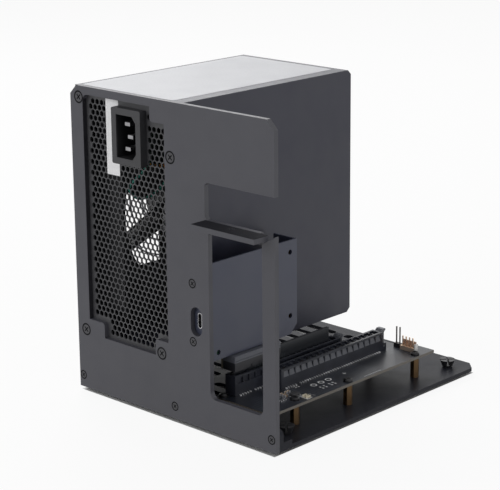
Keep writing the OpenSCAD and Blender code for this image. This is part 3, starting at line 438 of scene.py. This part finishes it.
GLASS = (0.12, 0.105, 0.085)
DARK_EDGE = (0.025, 0.025, 0.028)
dress(board_finish("main board lacquer", (0.012, 0.014, 0.02), (0.03, 0.035, 0.045), GLASS, "Z"),
      "main_board")
# The riser's cut edge is coloured dark.
dress(board_finish("riser lacquer", (0.012, 0.014, 0.018), (0.03, 0.035, 0.04), DARK_EDGE, "X"),
      "riser_card")
dress(board_finish("green lacquer", (0.015, 0.12, 0.06), (0.04, 0.2, 0.1), GLASS, "X"),
      "module_board", "psu_board")
print("boards: 4")

# %% [markdown]
# ## Floor, backdrop and light
# The photograph is a cut-out on white. A pale floor keeps a soft contact shadow. Both it and
# the world look white to camera, glossy and transmission rays only, so they light the object
# no more for it. Under the base the floor stays plain, so the slots look down into shadow.

# %% Stage and light
def background_rays(tree):
    """1 for camera, glossy and transmission rays, and 0 for the rays that light the object."""
    rays = add_node(tree, "ShaderNodeLightPath").outputs
    either = maths(tree, "MAXIMUM", rays["Is Camera Ray"], rays["Is Glossy Ray"])
    return maths(tree, "MAXIMUM", either, rays["Is Transmission Ray"])

def mix_in(tree, factor, plain, white, out):
    """Shows the plain shader where factor is 0 and the white one where it is 1."""
    mix = tree.nodes.new("ShaderNodeMixShader")
    tree.links.new(factor, mix.inputs[0])
    tree.links.new(plain, mix.inputs[1])
    tree.links.new(white, mix.inputs[2])
    tree.links.new(mix.outputs[0], out)

FLOOR_HALF = 3.0
FLOOR_WHITE = 0.92
FLOOR_GREY = (0.7, 0.7, 0.7)
WHITE = (1, 1, 1, 1)
INSET = 2 * MM
PANEL_BACK = -0.0835
floor_mesh = bpy.data.meshes.new("floor")
floor_corners = [(x * FLOOR_HALF, y * FLOOR_HALF, 0)
                 for x, y in ((-1, -1), (1, -1), (1, 1), (-1, 1))]
floor_mesh.from_pydata(floor_corners, [], [(0, 1, 2, 3)])
floor = bpy.data.objects.new("floor", floor_mesh)
scene.collection.objects.link(floor)
floor_paint, floor_tree, floor_shader = new_material("floor paint", FLOOR_GREY, 0.7)
floor_glow = add_node(floor_tree, "ShaderNodeEmission", Strength=1.0, Color=WHITE)
footprint = {"X": (cad_low[0] + INSET, cad_high[0] - INSET), "Y": (PANEL_BACK, cad_high[1] - INSET)}
beyond = maths(floor_tree, "SUBTRACT", 1.0, inside_box(floor_tree, footprint))
bright_part = maths(floor_tree, "MULTIPLY", background_rays(floor_tree), beyond)
mix_in(floor_tree, maths(floor_tree, "MULTIPLY", bright_part, FLOOR_WHITE),
       floor_shader.outputs[0], floor_glow.outputs[0],
       floor_tree.nodes["Material Output"].inputs["Surface"])
floor_mesh.materials.append(floor_paint)

DOME_STRENGTH = 0.3
world = bpy.data.worlds.new("world")
scene.world = world
world.use_nodes = True
sky = world.node_tree
dome = sky.nodes["Background"]
dome.inputs["Color"].default_value = WHITE
dome.inputs["Strength"].default_value = DOME_STRENGTH
sky_white = add_node(sky, "ShaderNodeBackground", Strength=1.0, Color=WHITE)
mix_in(sky, background_rays(sky), dome.outputs[0], sky_white.outputs[0],
       sky.nodes["World Output"].inputs["Surface"])

def soft_box(name, at, target, size, watts):
    """A square area lamp that points at a target."""
    lamp = bpy.data.lights.new(name, "AREA")
    lamp.shape, lamp.size, lamp.energy = "SQUARE", size, watts
    holder = bpy.data.objects.new(name, lamp)
    scene.collection.objects.link(holder)
    holder.location = at
    holder.rotation_mode = "QUATERNION"
    holder.rotation_quaternion = (Vector(target) - Vector(at)).to_track_quat("-Z", "Y")

LAMPS = [("key light", (-0.95, 0.55, 1.1), 0.8, 13), ("front light", (-0.3, -1.2, 0.75), 0.9, 6.5),
         ("side light", (1.5, -0.3, 0.35), 0.9, 4)]
for name, at, size, watts in LAMPS:
    soft_box(name, at, (cad_low + cad_high) / 2, size, watts)
print("lamps:", ", ".join(f"{name} {watts} W" for name, _, _, watts in LAMPS))

# %% [markdown]
# ## Surfaces from numbers
# Every added piece is a surface worked out with numpy. A skin joins rings of points, which is
# enough for tubes, plates, chips and turned shapes. Many small parts go into one mesh.

# %% Mesh helpers
SHARP_ANGLE = math.radians(35)
LEAST_RADIUS = 0.01
X_AXIS, Y_AXIS, Z_AXIS = (1, 0, 0), (0, 1, 0), (0, 0, 1)
# A direction that is parallel to no turned part's axis and to no wire's start
OFF_AXIS = (0.31, 0.52, 0.79)

def skin(rings, loop=False):
    """Joins ring i to ring i + 1 with quads and closes both ends, or joins the last to the first.

    rings has the shape (rings, points, 3). Points run anticlockwise about the way the rings
    advance, so that every face looks outwards.
    """
    count, size = rings.shape[:2]
    i, j = np.meshgrid(np.arange(count if loop else count - 1), np.arange(size), indexing="ij")
    k, after = (j + 1) % size, (i + 1) % count
    faces = np.stack([i * size + j, i * size + k, after * size + k, after * size + j], -1)
    faces = faces.reshape(-1, 4).tolist()
    if not loop:
        faces += [list(range(size))[::-1], list(range((count - 1) * size, count * size))]
    return rings.reshape(-1, 3), faces

def merge(parts):
    """Puts several (points, faces) pairs into one."""
    points, faces, start = [], [], 0
    for some_points, some_faces in parts:
        points.append(some_points)
        faces += [[start + int(index) for index in face] for face in some_faces]
        start += len(some_points)
    return np.concatenate(points), faces

def piece(name, shape, material, body="chassis", smooth=True):
    """One object from (points, faces) in millimetres, tied to a CAD body and a material slot."""
    points, faces = shape
    mesh = bpy.data.meshes.new(name)
    mesh.from_pydata((np.asarray(points, float) * MM).tolist(), [], faces)
    mesh.materials.append(material)
    thing = bpy.data.objects.new(name, mesh)
    scene.collection.objects.link(thing)
    if smooth:
        mesh.shade_smooth()
        mesh.set_sharp_from_angle(angle=SHARP_ANGLE)
    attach(thing, body)
    print(name, len(mesh.vertices), "points")

def box_mm(node):
    """A CAD node's lowest and highest corners in millimetres."""
    low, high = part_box(node)
    return np.array(low) / MM, np.array(high) / MM

def unit_circle(sides):
    """Cosine and sine columns of evenly spaced angles round a full turn."""
    angle = np.linspace(0, 2 * math.pi, sides, endpoint=False)[:, None]
    return np.cos(angle), np.sin(angle)

def round_outline(width, height, radius, steps=6):
    """Anticlockwise corners of a rectangle about the origin, each a quarter circle."""
    angle = np.linspace(0, math.pi / 2, steps)
    arc = radius * np.stack([np.cos(angle), np.sin(angle)], -1)
    sides = []
    for turn, (sx, sy) in enumerate(((1, 1), (-1, 1), (-1, -1), (1, -1))):
        c, s = round(math.cos(turn * math.pi / 2)), round(math.sin(turn * math.pi / 2))
        corner = arc @ np.array([[c, s], [-s, c]])
        sides.append(corner + [sx * (width / 2 - radius), sy * (height / 2 - radius)])
    return np.concatenate(sides)

def plate(centre, across, along, width, height, thickness, radius, edge=0.0):
    """A thin plate: its outline lies on across and along, and it grows along their cross product.

    With an edge, the outline draws in by it over the last part of the thickness.
    """
    across, along = np.array(across, float), np.array(along, float)
    out = np.cross(across, along)
    levels = [(0, 0), (thickness - edge, 0)] + ([(thickness, edge)] if edge else [])
    rings = []
    for level, inset in levels:
        corner = max(radius - inset, LEAST_RADIUS)
        flat = round_outline(width - 2 * inset, height - 2 * inset, corner)
        rings.append(np.array(centre) + flat[:, :1] * across + flat[:, 1:] * along + level * out)
    return skin(np.stack(rings))

def flat_ring(centre, across, along, inner, outer, height):
    """A washer: four circles, up the outside and down the inside, closed into a loop."""
    across, along = np.array(across, float), np.array(along, float)
    out = np.cross(across, along)
    cosine, sine = unit_circle(48)
    circle = cosine * across + sine * along
    levels = ((outer, 0), (outer, height), (inner, height), (inner, 0))
    return skin(np.stack([np.array(centre, float) + radius * circle + level * out
                          for radius, level in levels]), loop=True)

def tube(path, radius, sides=12):
    """A pipe: circles about each point, their normal carried along the path without twist."""
    path = np.array(path, float)
    tangent = np.gradient(path, axis=0)
    tangent /= np.linalg.norm(tangent, axis=1, keepdims=True)
    normal = np.cross(tangent[0], OFF_AXIS)
    cosine, sine = unit_circle(sides)
    rings = []
    for point, direction in zip(path, tangent):
        normal = normal - direction * normal.dot(direction)
        normal /= np.linalg.norm(normal)
        side = np.cross(direction, normal)
        rings.append(point + radius * (cosine * normal + sine * side))
    return skin(np.stack(rings))

def smooth_path(knots, steps):
    """A curve through every knot: each span is a Catmull-Rom cubic of its four nearest knots."""
    knots = np.array(knots, float)
    knots = np.concatenate([[2 * knots[0] - knots[1]], knots, [2 * knots[-1] - knots[-2]]])
    t = np.linspace(0, 1, steps, endpoint=False)[:, None]
    spans = []
    for a, b, c, d in zip(knots, knots[1:], knots[2:], knots[3:]):
        spans.append(0.5 * (2 * b + (c - a) * t + (2 * a - 5 * b + 4 * c - d) * t**2
                            + (3 * b - a - 3 * c + d) * t**3))
    return np.concatenate(spans + [knots[-2:-1]])

def turned(profile, base, axis, sides=32):
    """A solid of revolution: profile rows are (radius, distance along the axis)."""
    axis = np.array(axis, float)
    first = np.cross(axis, OFF_AXIS)
    first /= np.linalg.norm(first)
    cosine, sine = unit_circle(sides)
    circle = cosine * first + sine * np.cross(axis, first)
    return skin(np.stack([np.array(base) + r * circle + d * axis for r, d in profile]))

def chip(x, y, z, sx, sy, sz, chamfer=0.08):
    """A small moulded box on the board, its upright and top edges cut by the chamfer."""
    return plate((x, y, z), X_AXIS, Y_AXIS, sx, sy, sz, chamfer * 2, chamfer)

# %% [markdown]
# ## Painted shade round the countersunk screws
# Each countersunk head sits low in its countersink. The shade there is painted as a black ring
# round the head's coated middle, and the shade in its cross recess as a black cross.

# %% Screw rings
RING_SHARE, RING_HEIGHT = 0.76, 0.03
CROSS_WIDTH, CROSS_CORNER = 0.2, 0.09
# Each row: x, z and radius of a head on the panel
HEADS = [(-71.0, 38.9, 3.7), (-71.0, 176.9, 3.7), (-7.0, 38.9, 3.7), (3.0, 152.9, 3.7),
         (-74.9, 9.9, 2.7), (2.8, 9.9, 2.7), (76.9, 9.9, 2.7), (18.4, 51.6, 2.7),
         (18.4, 85.0, 2.7)]
DIAGONAL = math.sqrt(0.5)

panel_face = box_mm("psu_screws")[0][1]
rings = [flat_ring((x, panel_face, z), X_AXIS, Z_AXIS, radius * RING_SHARE, radius, RING_HEIGHT)
         for x, z, radius in HEADS]
cross_shades = [plate((x, panel_face, z), (DIAGONAL, 0, turn * DIAGONAL),
                 (-turn * DIAGONAL, 0, DIAGONAL), radius, radius * CROSS_WIDTH, RING_HEIGHT,
                 radius * CROSS_CORNER)
           for x, z, radius in HEADS for turn in (1, -1)]
# The black rings and crosses are painted shade of the countersinks and cross recesses.
countersink_shade = set_specular(powder_coat("countersink painted shade", (0.004, 0.004, 0.005), 0.7), 0.1)
piece("screw_shade_rings", merge(rings + cross_shades), countersink_shade, smooth=False)

# %% [markdown]
# ## Stickers
# The power supply's top carries a pale foil sticker that stops short of the +X edge, where the
# painted steel shows. A white paper strip stands beside the mains inlet. Both stay bare.

# %% Stickers
def sticker_finish(name, colour, roughness, fibre_scale):
    """Paper or foil: fibres vary the shade, and slow waves bend the light a little."""
    material, tree, shader = new_material(name, colour, roughness)
    vector = place_vector(tree)
    fibre = noise(tree, vector, fibre_scale, detail=5)
    wave = noise(tree, vector, 35, detail=1)
    vary_colour(tree, shader, fibre, (0.3, 0.7), colour, (0.95, 1.04))
    vary_roughness(tree, shader, wave, (0.3, 0.7), roughness - 0.06, roughness + 0.08)
    bump(tree, shader, wave, 0.3, 0.4 * MM)
    return material

cover_low, cover_high = box_mm("psu_cover")
case_low, case_high = box_mm("psu_case")
TOP_LEFT, TOP_RIGHT, TOP_NEAR, TOP_FAR = 2.5, 8.5, 2.5, 6.5
FOIL_THICK, FOIL_CORNER, FOIL_EDGE = 0.12, 2.5, 0.05
top_size = (case_high[0] - cover_low[0] - TOP_LEFT - TOP_RIGHT,
            case_high[1] - case_low[1] - TOP_NEAR - TOP_FAR)
top_centre = (cover_low[0] + TOP_LEFT + top_size[0] / 2,
              case_low[1] + TOP_NEAR + top_size[1] / 2, cover_high[2])
piece("psu_top_sticker",
      plate(top_centre, X_AXIS, Y_AXIS, *top_size, FOIL_THICK, FOIL_CORNER, FOIL_EDGE),
      sticker_finish("sticker foil", (0.46, 0.465, 0.49), 0.45, 900))

STRIP_X, STRIP_Z = (-51.5, -41.0), (134.9, 178.6)
PAPER_THICK, PAPER_CORNER, PAPER_EDGE, PAPER_GAP = 0.1, 0.5, 0.04, 0.02
strip_at = (sum(STRIP_X) / 2, box_mm("psu_rear_grille")[0][1] - PAPER_GAP, sum(STRIP_Z) / 2)
piece("inlet_strip_sticker",
      plate(strip_at, X_AXIS, Z_AXIS, STRIP_X[1] - STRIP_X[0], STRIP_Z[1] - STRIP_Z[0],
            PAPER_THICK, PAPER_CORNER, PAPER_EDGE),
      sticker_finish("sticker paper", (0.82, 0.82, 0.83), 0.6, 1500))

# %% [markdown]
# ## Parts on the main board
# Surface-mount parts stand in the free strip beside the card slot. A chip resistor or capacitor
# is a body with a tinned cap on each end, and a controller has rows of gull-wing legs.

# %% Board parts
board_top = box_mm("main_board")[1][2]
solder = worn_metal("solder", (0.68, 0.68, 0.7), 0.25, 1500)
CAP_SHARE, CAP_OVER, CAP_RISE, CHIP_EDGE = 0.22, 0.06, 0.04, 0.05

def two_ended(x, y, along_y, length, width, height):
    """Body and the two tinned ends of a chip part, lying along Y or X."""
    cap = length * CAP_SHARE
    ends = []
    for side in (-1, 1):
        shift = side * (length - cap) / 2
        place = (x, y + shift) if along_y else (x + shift, y)
        size = (width + CAP_OVER, cap) if along_y else (cap, width + CAP_OVER)
        ends.append(chip(*place, board_top, *size, height + CAP_RISE, CHIP_EDGE))
    body_size = (width, length - 2 * cap) if along_y else (length - 2 * cap, width)
    return chip(x, y, board_top, *body_size, height, CHIP_EDGE), ends

# Each spot: x, y, and 1 where the part lies along Y. Each size: length, width and height
CAPACITORS = [(52.4, -48.4, 1), (50.4, -48.4, 1), (54.4, -48.6, 1), (50.6, -44.5, 0),
              (50.6, -42.6, 0)]
RESISTORS = [(57.2, -52.5, 0), (57.2, -54.2, 0), (57.2, -55.9, 0), (61.6, -37.4, 1),
             (63.4, -37.4, 1), (65.0, -37.4, 1)]
CAPACITOR_SIZE, RESISTOR_SIZE = (2.0, 1.25, 1.1), (1.6, 0.8, 0.45)
capacitors = [two_ended(*spot, *CAPACITOR_SIZE) for spot in CAPACITORS]
resistors = [two_ended(*spot, *RESISTOR_SIZE) for spot in RESISTORS]
piece("board_chip_capacitors", merge([body for body, _ in capacitors]),
      moulded("ceramic", (0.32, 0.22, 0.13), 0.4))
piece("board_chip_resistors", merge([body for body, _ in resistors]),
      moulded("resistor glass", (0.015, 0.015, 0.017), 0.25))
piece("board_chip_ends", merge([end for _, ends in capacitors + resistors for end in ends]),
      solder)

CONTROLLER = (56.3, -43.7)
CONTROLLER_W, CONTROLLER_L, CONTROLLER_H = 4.0, 5.0, 1.4
LEG_PITCH, LEG_COUNT, LEG_THICK, LEG_FOOT = 1.27, 4, 0.16, 0.09

def gull_legs():
    """Two rows of bent legs: each leaves the body, drops to the board and turns out flat."""
    x, y = CONTROLLER
    start = CONTROLLER_H * 0.5
    path = [(0, start), (0.35, start), (0.55, LEG_FOOT), (1.05, LEG_FOOT)]
    legs = []
    for side in (-1, 1):
        for n in range(LEG_COUNT):
            centre = y + (n - (LEG_COUNT - 1) / 2) * LEG_PITCH
            for (d0, z0), (d1, z1) in zip(path, path[1:]):
                legs.append(chip(x + side * (CONTROLLER_W / 2 + (d0 + d1) / 2), centre,
                                 board_top + min(z0, z1) - LEG_THICK / 2,
                                 abs(d1 - d0) + LEG_THICK, LEG_PITCH * 0.4,
                                 abs(z1 - z0) + LEG_THICK, 0.02))
    return merge(legs)

piece("board_controller",
      chip(*CONTROLLER, board_top + 0.1, CONTROLLER_W, CONTROLLER_L, CONTROLLER_H, 0.15),
      moulded("epoxy", (0.02, 0.02, 0.022), 0.5))
piece("board_controller_legs", gull_legs(), solder)
piece("board_lamps", merge([chip(x, -41.2, board_top, 1.6, 2.8, 1.3, 0.12) for x in (61.8, 64.2)]),
      moulded("clear epoxy", (0.55, 0.5, 0.38), 0.2))

# %% [markdown]
# ## Ink on the main board
# The silkscreen is a film of white ink three hundredths of a millimetre thick: rings, dashes,
# a cross and frames round the parts.

# %% Board ink
INK_THICK, INK_EDGE, LOWER_INK = 0.03, 0.005, 0.028

def stroke(x, y, width, height, thick=INK_THICK):
    """A small rectangle of ink."""
    return chip(x, y, board_top, width, height, thick, INK_EDGE)

def ink_frame(x, y, width, height, line):
    """Four strokes along the sides of a rectangle."""
    sides = [stroke(x, y + s * height / 2, width + line, line) for s in (-1, 1)]
    return sides + [stroke(x + s * width / 2, y, line, height - line) for s in (-1, 1)]

ink_marks = [flat_ring((53.4, y, board_top), X_AXIS, Y_AXIS, 1.3, 2.0, INK_THICK)
             for y in (-24.5, -18.2, -12.0)]
ink_marks += [stroke(53.7, 1.7, 2.6, 0.4), stroke(53.7, 1.7, 0.4, 2.6, LOWER_INK)]
ink_marks += ink_frame(*CONTROLLER, 6.8, 6.4, 0.2) + ink_frame(63.0, -41.2, 5.4, 3.8, 0.4)
ink_marks += [stroke(x, y, 1.4, 1.0) for x in (58.4, 60.6) for y in (-24.5, -21.5, -17.0, -14.0)]
ink_marks += [stroke(65.6, y, 0.5, 0.9) for y in np.arange(6.0, 21.0, 1.5)]
ink_marks += [stroke(47.0 + i, -34.0 + 2.2 * j, 0.6, 1.3) for i in (0, 1.6) for j in (0, 1)]
piece("board_silkscreen", merge(ink_marks), moulded("white ink", (0.75, 0.75, 0.75), 0.6),
      smooth=False)

# %% [markdown]
# ## Slot bays and the fan's plug
# The card slot's side has a row of bays. Each bay's floor slopes: it lies a millimetre deep at
# its top and meets the side at its foot, so it faces the light. Its plastic is the slot's plastic
# painted paler, as painted light. The fan's header has a thin nylon wall behind its pins and an
# end that light shines through.

# %% Slot bays
SLOT_LENGTH, SLOT_WIDTH = 89.0, 7.75
BAY_PITCH, BAY_WIDTH, BAY_COUNT = 5.05, 4.3, 17
BAY_FOOT, BAY_TOP, BAY_DEPTH = 6.9, 10.6, 0.95
BAY_BACK, BAY_FRONT, BAY_GAP = 0.98, 0.02, 0.03

def bay_floors(node):
    """One wedge for each bay: thick at its foot, thin at its top, as wide as the bay."""
    low, _ = box_mm(node)
    side = low[0] + SLOT_WIDTH
    profile = [(side - BAY_BACK, BAY_FOOT), (side - BAY_FRONT, BAY_FOOT),
               (side - BAY_DEPTH, BAY_TOP)]
    wedges = []
    for n in range(BAY_COUNT):
        y = low[1] + (SLOT_LENGTH - BAY_COUNT * BAY_PITCH) / 2 + (n + 0.5) * BAY_PITCH
        wedges.append(skin(np.array([[(x, y + s * (BAY_WIDTH / 2 - BAY_GAP), low[2] + z)
                                      for x, z in profile] for s in (1, -1)])))
    return merge(wedges)

# The bays' plastic is a lighter copy of the slot plastic: painted light on the floors.
piece("gpu_slot_bays", bay_floors("gpu_slot"), moulded("bay plastic painted lit", (0.062, 0.066, 0.082), 0.36),
      smooth=False)

WALL_GAP, WALL_THICK, WALL_HEIGHT = 0.35, 0.6, 6.0
END_GAP, END_SHIFT, END_THICK, END_HEIGHT = 0.7, 0.3, 1.2, 5.0
header_low, header_high = box_mm("fan_header")
header_x, header_y = (header_low[0] + header_high[0]) / 2, (header_low[1] + header_high[1]) / 2
piece("fan_header_wall", chip(header_x, header_high[1] + WALL_GAP, board_top,
                              header_high[0] - header_low[0], WALL_THICK, WALL_HEIGHT),
      moulded("header nylon", (0.4, 0.28, 0.22), 0.4))
piece("fan_header_end", chip(header_high[0] + END_GAP, header_y + END_SHIFT, board_top,
                             END_THICK, header_high[1] - header_low[1], END_HEIGHT),
      moulded("clear nylon", (0.75, 0.74, 0.72), 0.3))

# %% [markdown]
# ## Contacts
# The card slot holds two rows of bent spring contacts, two millimetres apart along it. A
# spring comes up beside the wall, bows into the mouth and turns back, so that it presses on
# the card. The tongue of the USB port has a row of gold pads on each face.

# %% Contacts
gold = worn_metal("contact gold", (0.85, 0.62, 0.28), 0.2, 1500)
PAD_PITCH, PAD_COUNT, PAD_AT = 0.5, 12, 3.6
PAD_LENGTH, PAD_WIDTH, PAD_THICK, PAD_CORNER, PAD_EDGE = 3.4, 0.26, 0.02, 0.05, 0.005
SPRING_PITCH, SPRING_WIDTH, SPRING_THICK = 2.0, 0.5, 0.14
SPRING_BOW, SPRING_STEPS, WALL_OVERLAP = 0.42, 9, 0.04

def tongue_pads():
    """Pads at an even pitch about the tongue's middle, on both of its faces."""
    low, high = box_mm("usb_tongue")
    pads = []
    for side, face in ((-1, low[0]), (1, high[0])):
        for n in range(PAD_COUNT):
            z = (low[2] + high[2]) / 2 + (n - (PAD_COUNT - 1) / 2) * PAD_PITCH
            pads.append(plate((face, low[1] + PAD_AT, z), (0, side, 0), Z_AXIS,
                              PAD_LENGTH, PAD_WIDTH, PAD_THICK, PAD_CORNER, PAD_EDGE))
    return merge(pads)

def spring_contacts(node, mouth, first, last, key_at, key_half, depth, top):
    """Springs along both walls: their distance from the wall is a bow of sin squared."""
    low, high = box_mm(node)
    centre = (low[0] + high[0]) / 2
    along = [y for y in np.arange(low[1] + first, low[1] + last, SPRING_PITCH)
             if abs(y - low[1] - key_at) > key_half]
    t = np.linspace(0, 1, SPRING_STEPS)
    bow = SPRING_BOW * np.sin(math.pi * (0.15 + 0.85 * t)) ** 2
    height = low[2] + depth + (top - depth) * t
    half = SPRING_WIDTH / 2
    springs = []
    for side in (-1, 1):
        face = centre + side * (mouth / 2 - WALL_OVERLAP)
        for y in along:
            rings = []
            for b, z in zip(bow, height):
                x0, x1 = sorted((face - side * (b + SPRING_THICK), face - side * b))
                rings.append([(x0, y - half, z), (x1, y - half, z), (x1, y + half, z),
                              (x0, y + half, z)])
            springs.append(skin(np.array(rings)))
    return merge(springs)

piece("usb_contacts", tongue_pads(), gold)
piece("gpu_slot_contacts",
      spring_contacts("gpu_slot", mouth=1.9, first=3.2, last=86.5, key_at=12.4, key_half=1.6,
                      depth=4.0, top=10.2), gold)

# %% [markdown]
# ## Inside the power supply
# Light falls through the honeycomb, so coloured parts inside show as specks. Wires run from
# the inlet and from the board's low end to its top, and a thin black sheet stands beside the
# fan.

# %% Inner wires
KNOT_STEPS, WIRE_SIDES, WIRE_SPACING = 8, 10, 1.25

def bundle(name, knots, colour, count, radius):
    """Wires side by side: each follows the same knots, moved sideways by its own offset."""
    wires = []
    for n in range(count):
        turn = 2 * math.pi * n / count
        reach = radius * WIRE_SPACING if count > 1 else 0
        offset = reach * np.array([math.cos(turn), 0, math.sin(turn)])
        wires.append(tube(smooth_path(np.array(knots) + offset, KNOT_STEPS), radius, WIRE_SIDES))
    piece(name, merge(wires), moulded(name + " sleeve", colour, 0.4))

bundle("earth_wire", [(-30, -58, 156), (-40, -64, 136), (-46, -70, 126), (-46, -64.7, 118.4),
                      (-46, -54.6, 117.7), (-46, -46.6, 121), (-44, -40, 128), (-34, -34, 140),
                      (-20, -36, 146), (1, -40, 148)], (0.04, 0.3, 0.24), 1, 0.9)
bundle("orange_wires", [(-30, -57, 163), (-38, -58, 152), (-46, -56, 138), (-46, -46, 134),
                        (-40, -38, 136), (-24, -30, 142), (1, -28, 146)], (0.75, 0.3, 0.06), 2, 0.9)
bundle("white_wires", [(-10, 20, 60), (-38, 10, 66), (-44, -10, 74), (-45, -34, 80),
                       (-45, -44, 92), (-42, -46, 110), (-36, -42, 126), (-20, -38, 134),
                       (1, -36, 138)], (0.3, 0.3, 0.32), 3, 0.7)

SHEET_X, SHEET_THICK, SHEET_CORNER = -50.9, 0.4, 0.5
# Each row: y and z of a plate's middle, then its width and height; the two meet edge to edge
SHEET_PLATES = [(-50.0, 62.0, 44.0, 29.0), (-36.0, 91.25, 16.0, 29.5)]
piece("fan_side_sheet", merge([plate((SHEET_X, y, z), Y_AXIS, Z_AXIS, width, height, SHEET_THICK,
                                 SHEET_CORNER) for y, z, width, height in SHEET_PLATES]),
      moulded("black side sheet", (0.012, 0.012, 0.013), 0.5))

# %% [markdown]
# ## Painted shade on the ledge
# The ledge's top looks nearly black: it lies in the shade of the power supply and reflects little
# at that low angle. A dull near-black sheet a tenth of a millimetre thick covers it as painted
# shade. Four strips leave the screw hole free.

# %% Ledge shade
LEDGE_Z, SHADE_THICK, SHADE_CORNER = 122.6, 0.1, 0.02
# Each row: the ends of a strip along X, then along Y
SHADE_STRIPS = [(29.6, 50.5, -95.3, -84.7), (54.1, 75.5, -95.3, -84.7),
               (50.5, 54.1, -95.3, -89.9), (50.5, 54.1, -86.3, -84.7)]
ledge_shade_plates = [plate(((x0 + x1) / 2, (y0 + y1) / 2, LEDGE_Z), X_AXIS, Y_AXIS, x1 - x0, y1 - y0,
              SHADE_THICK, SHADE_CORNER) for x0, x1, y0, y1 in SHADE_STRIPS]
# The sheet's near-black colour is painted shade on the ledge's top.
ledge_shade_finish = set_specular(moulded("ledge painted shade", (0.009, 0.009, 0.012), 0.7), 0.1)
piece("ledge_shade_pad", merge(ledge_shade_plates), ledge_shade_finish)

# %% [markdown]
# ## The fan's label, the choke's winding and the capacitors' tops
# The fan's hub has a round foil label, which turns with it. The choke is a ring core with
# copper wire round it: the wire's centre runs round the core's tube many times while it goes
# once round the ring. The capacitors' sleeves leave their aluminium tops bare.

# %% Small parts inside
fan_low, fan_high = box_mm("fan_frame")
fan_middle = (fan_low + fan_high) / 2
HUB_DEPTH, LABEL_RADIUS, PIN_HOLE = 1.5, 17.0, 0.05
label = turned([(LABEL_RADIUS, 0), (LABEL_RADIUS, 0.08), (LABEL_RADIUS - 0.1, 0.12),
                (PIN_HOLE, 0.12)],
               (fan_low[0] + HUB_DEPTH, fan_middle[1], fan_middle[2]), (-1, 0, 0), 64)
piece("fan_label", label, sticker_finish("label foil", (0.42, 0.42, 0.44), 0.4, 1200),
      "fan_rotor")

CORE_RADIUS, TUBE_RADIUS, WIRE_RADIUS, TURNS, TURN_STEPS = 9.0, 4.0, 0.42, 22, 16
WOUND_ANGLE = math.radians(320)

def winding():
    """A wire round a ring core: its turn angle is TURNS times its angle round the ring."""
    low, high = box_mm("psu_choke")
    middle = (low + high) / 2
    board_face = box_mm("psu_board")[0][0]
    round_ring = np.linspace(0, WOUND_ANGLE, TURNS * TURN_STEPS)
    round_tube = TURNS * round_ring
    reach = TUBE_RADIUS + WIRE_RADIUS
    radius = CORE_RADIUS + reach * np.cos(round_tube)
    across = np.minimum(middle[0] + reach * np.sin(round_tube), board_face - WIRE_RADIUS)
    return np.stack([across, middle[1] + radius * np.cos(round_ring),
                     middle[2] + radius * np.sin(round_ring)], -1)

piece("choke_winding", tube(winding(), WIRE_RADIUS, 8),
      worn_metal("enamelled copper", (0.55, 0.22, 0.1), 0.3, 1500))

# Each row: x, y and z of a capacitor's top, and its radius
CAPACITOR_TOPS = [(-32.9, -44.9, 61.0, 9.0), (-32.9, -44.9, 83.1, 9.0), (-19.3, 38.6, 66.5, 5.4),
                  (-19.3, 38.6, 85.8, 5.4), (-19.3, 38.6, 107.9, 5.4)]
tops = [turned([(r - 0.9, 0), (r - 0.9, 0.15), (r - 1.2, 0.25), (PIN_HOLE, 0.25)], (x, y, z),
               (-1, 0, 0)) for x, y, z, r in CAPACITOR_TOPS]
piece("capacitor_tops", merge(tops), worn_metal("can aluminium", (0.6, 0.6, 0.62), 0.3, 1400))
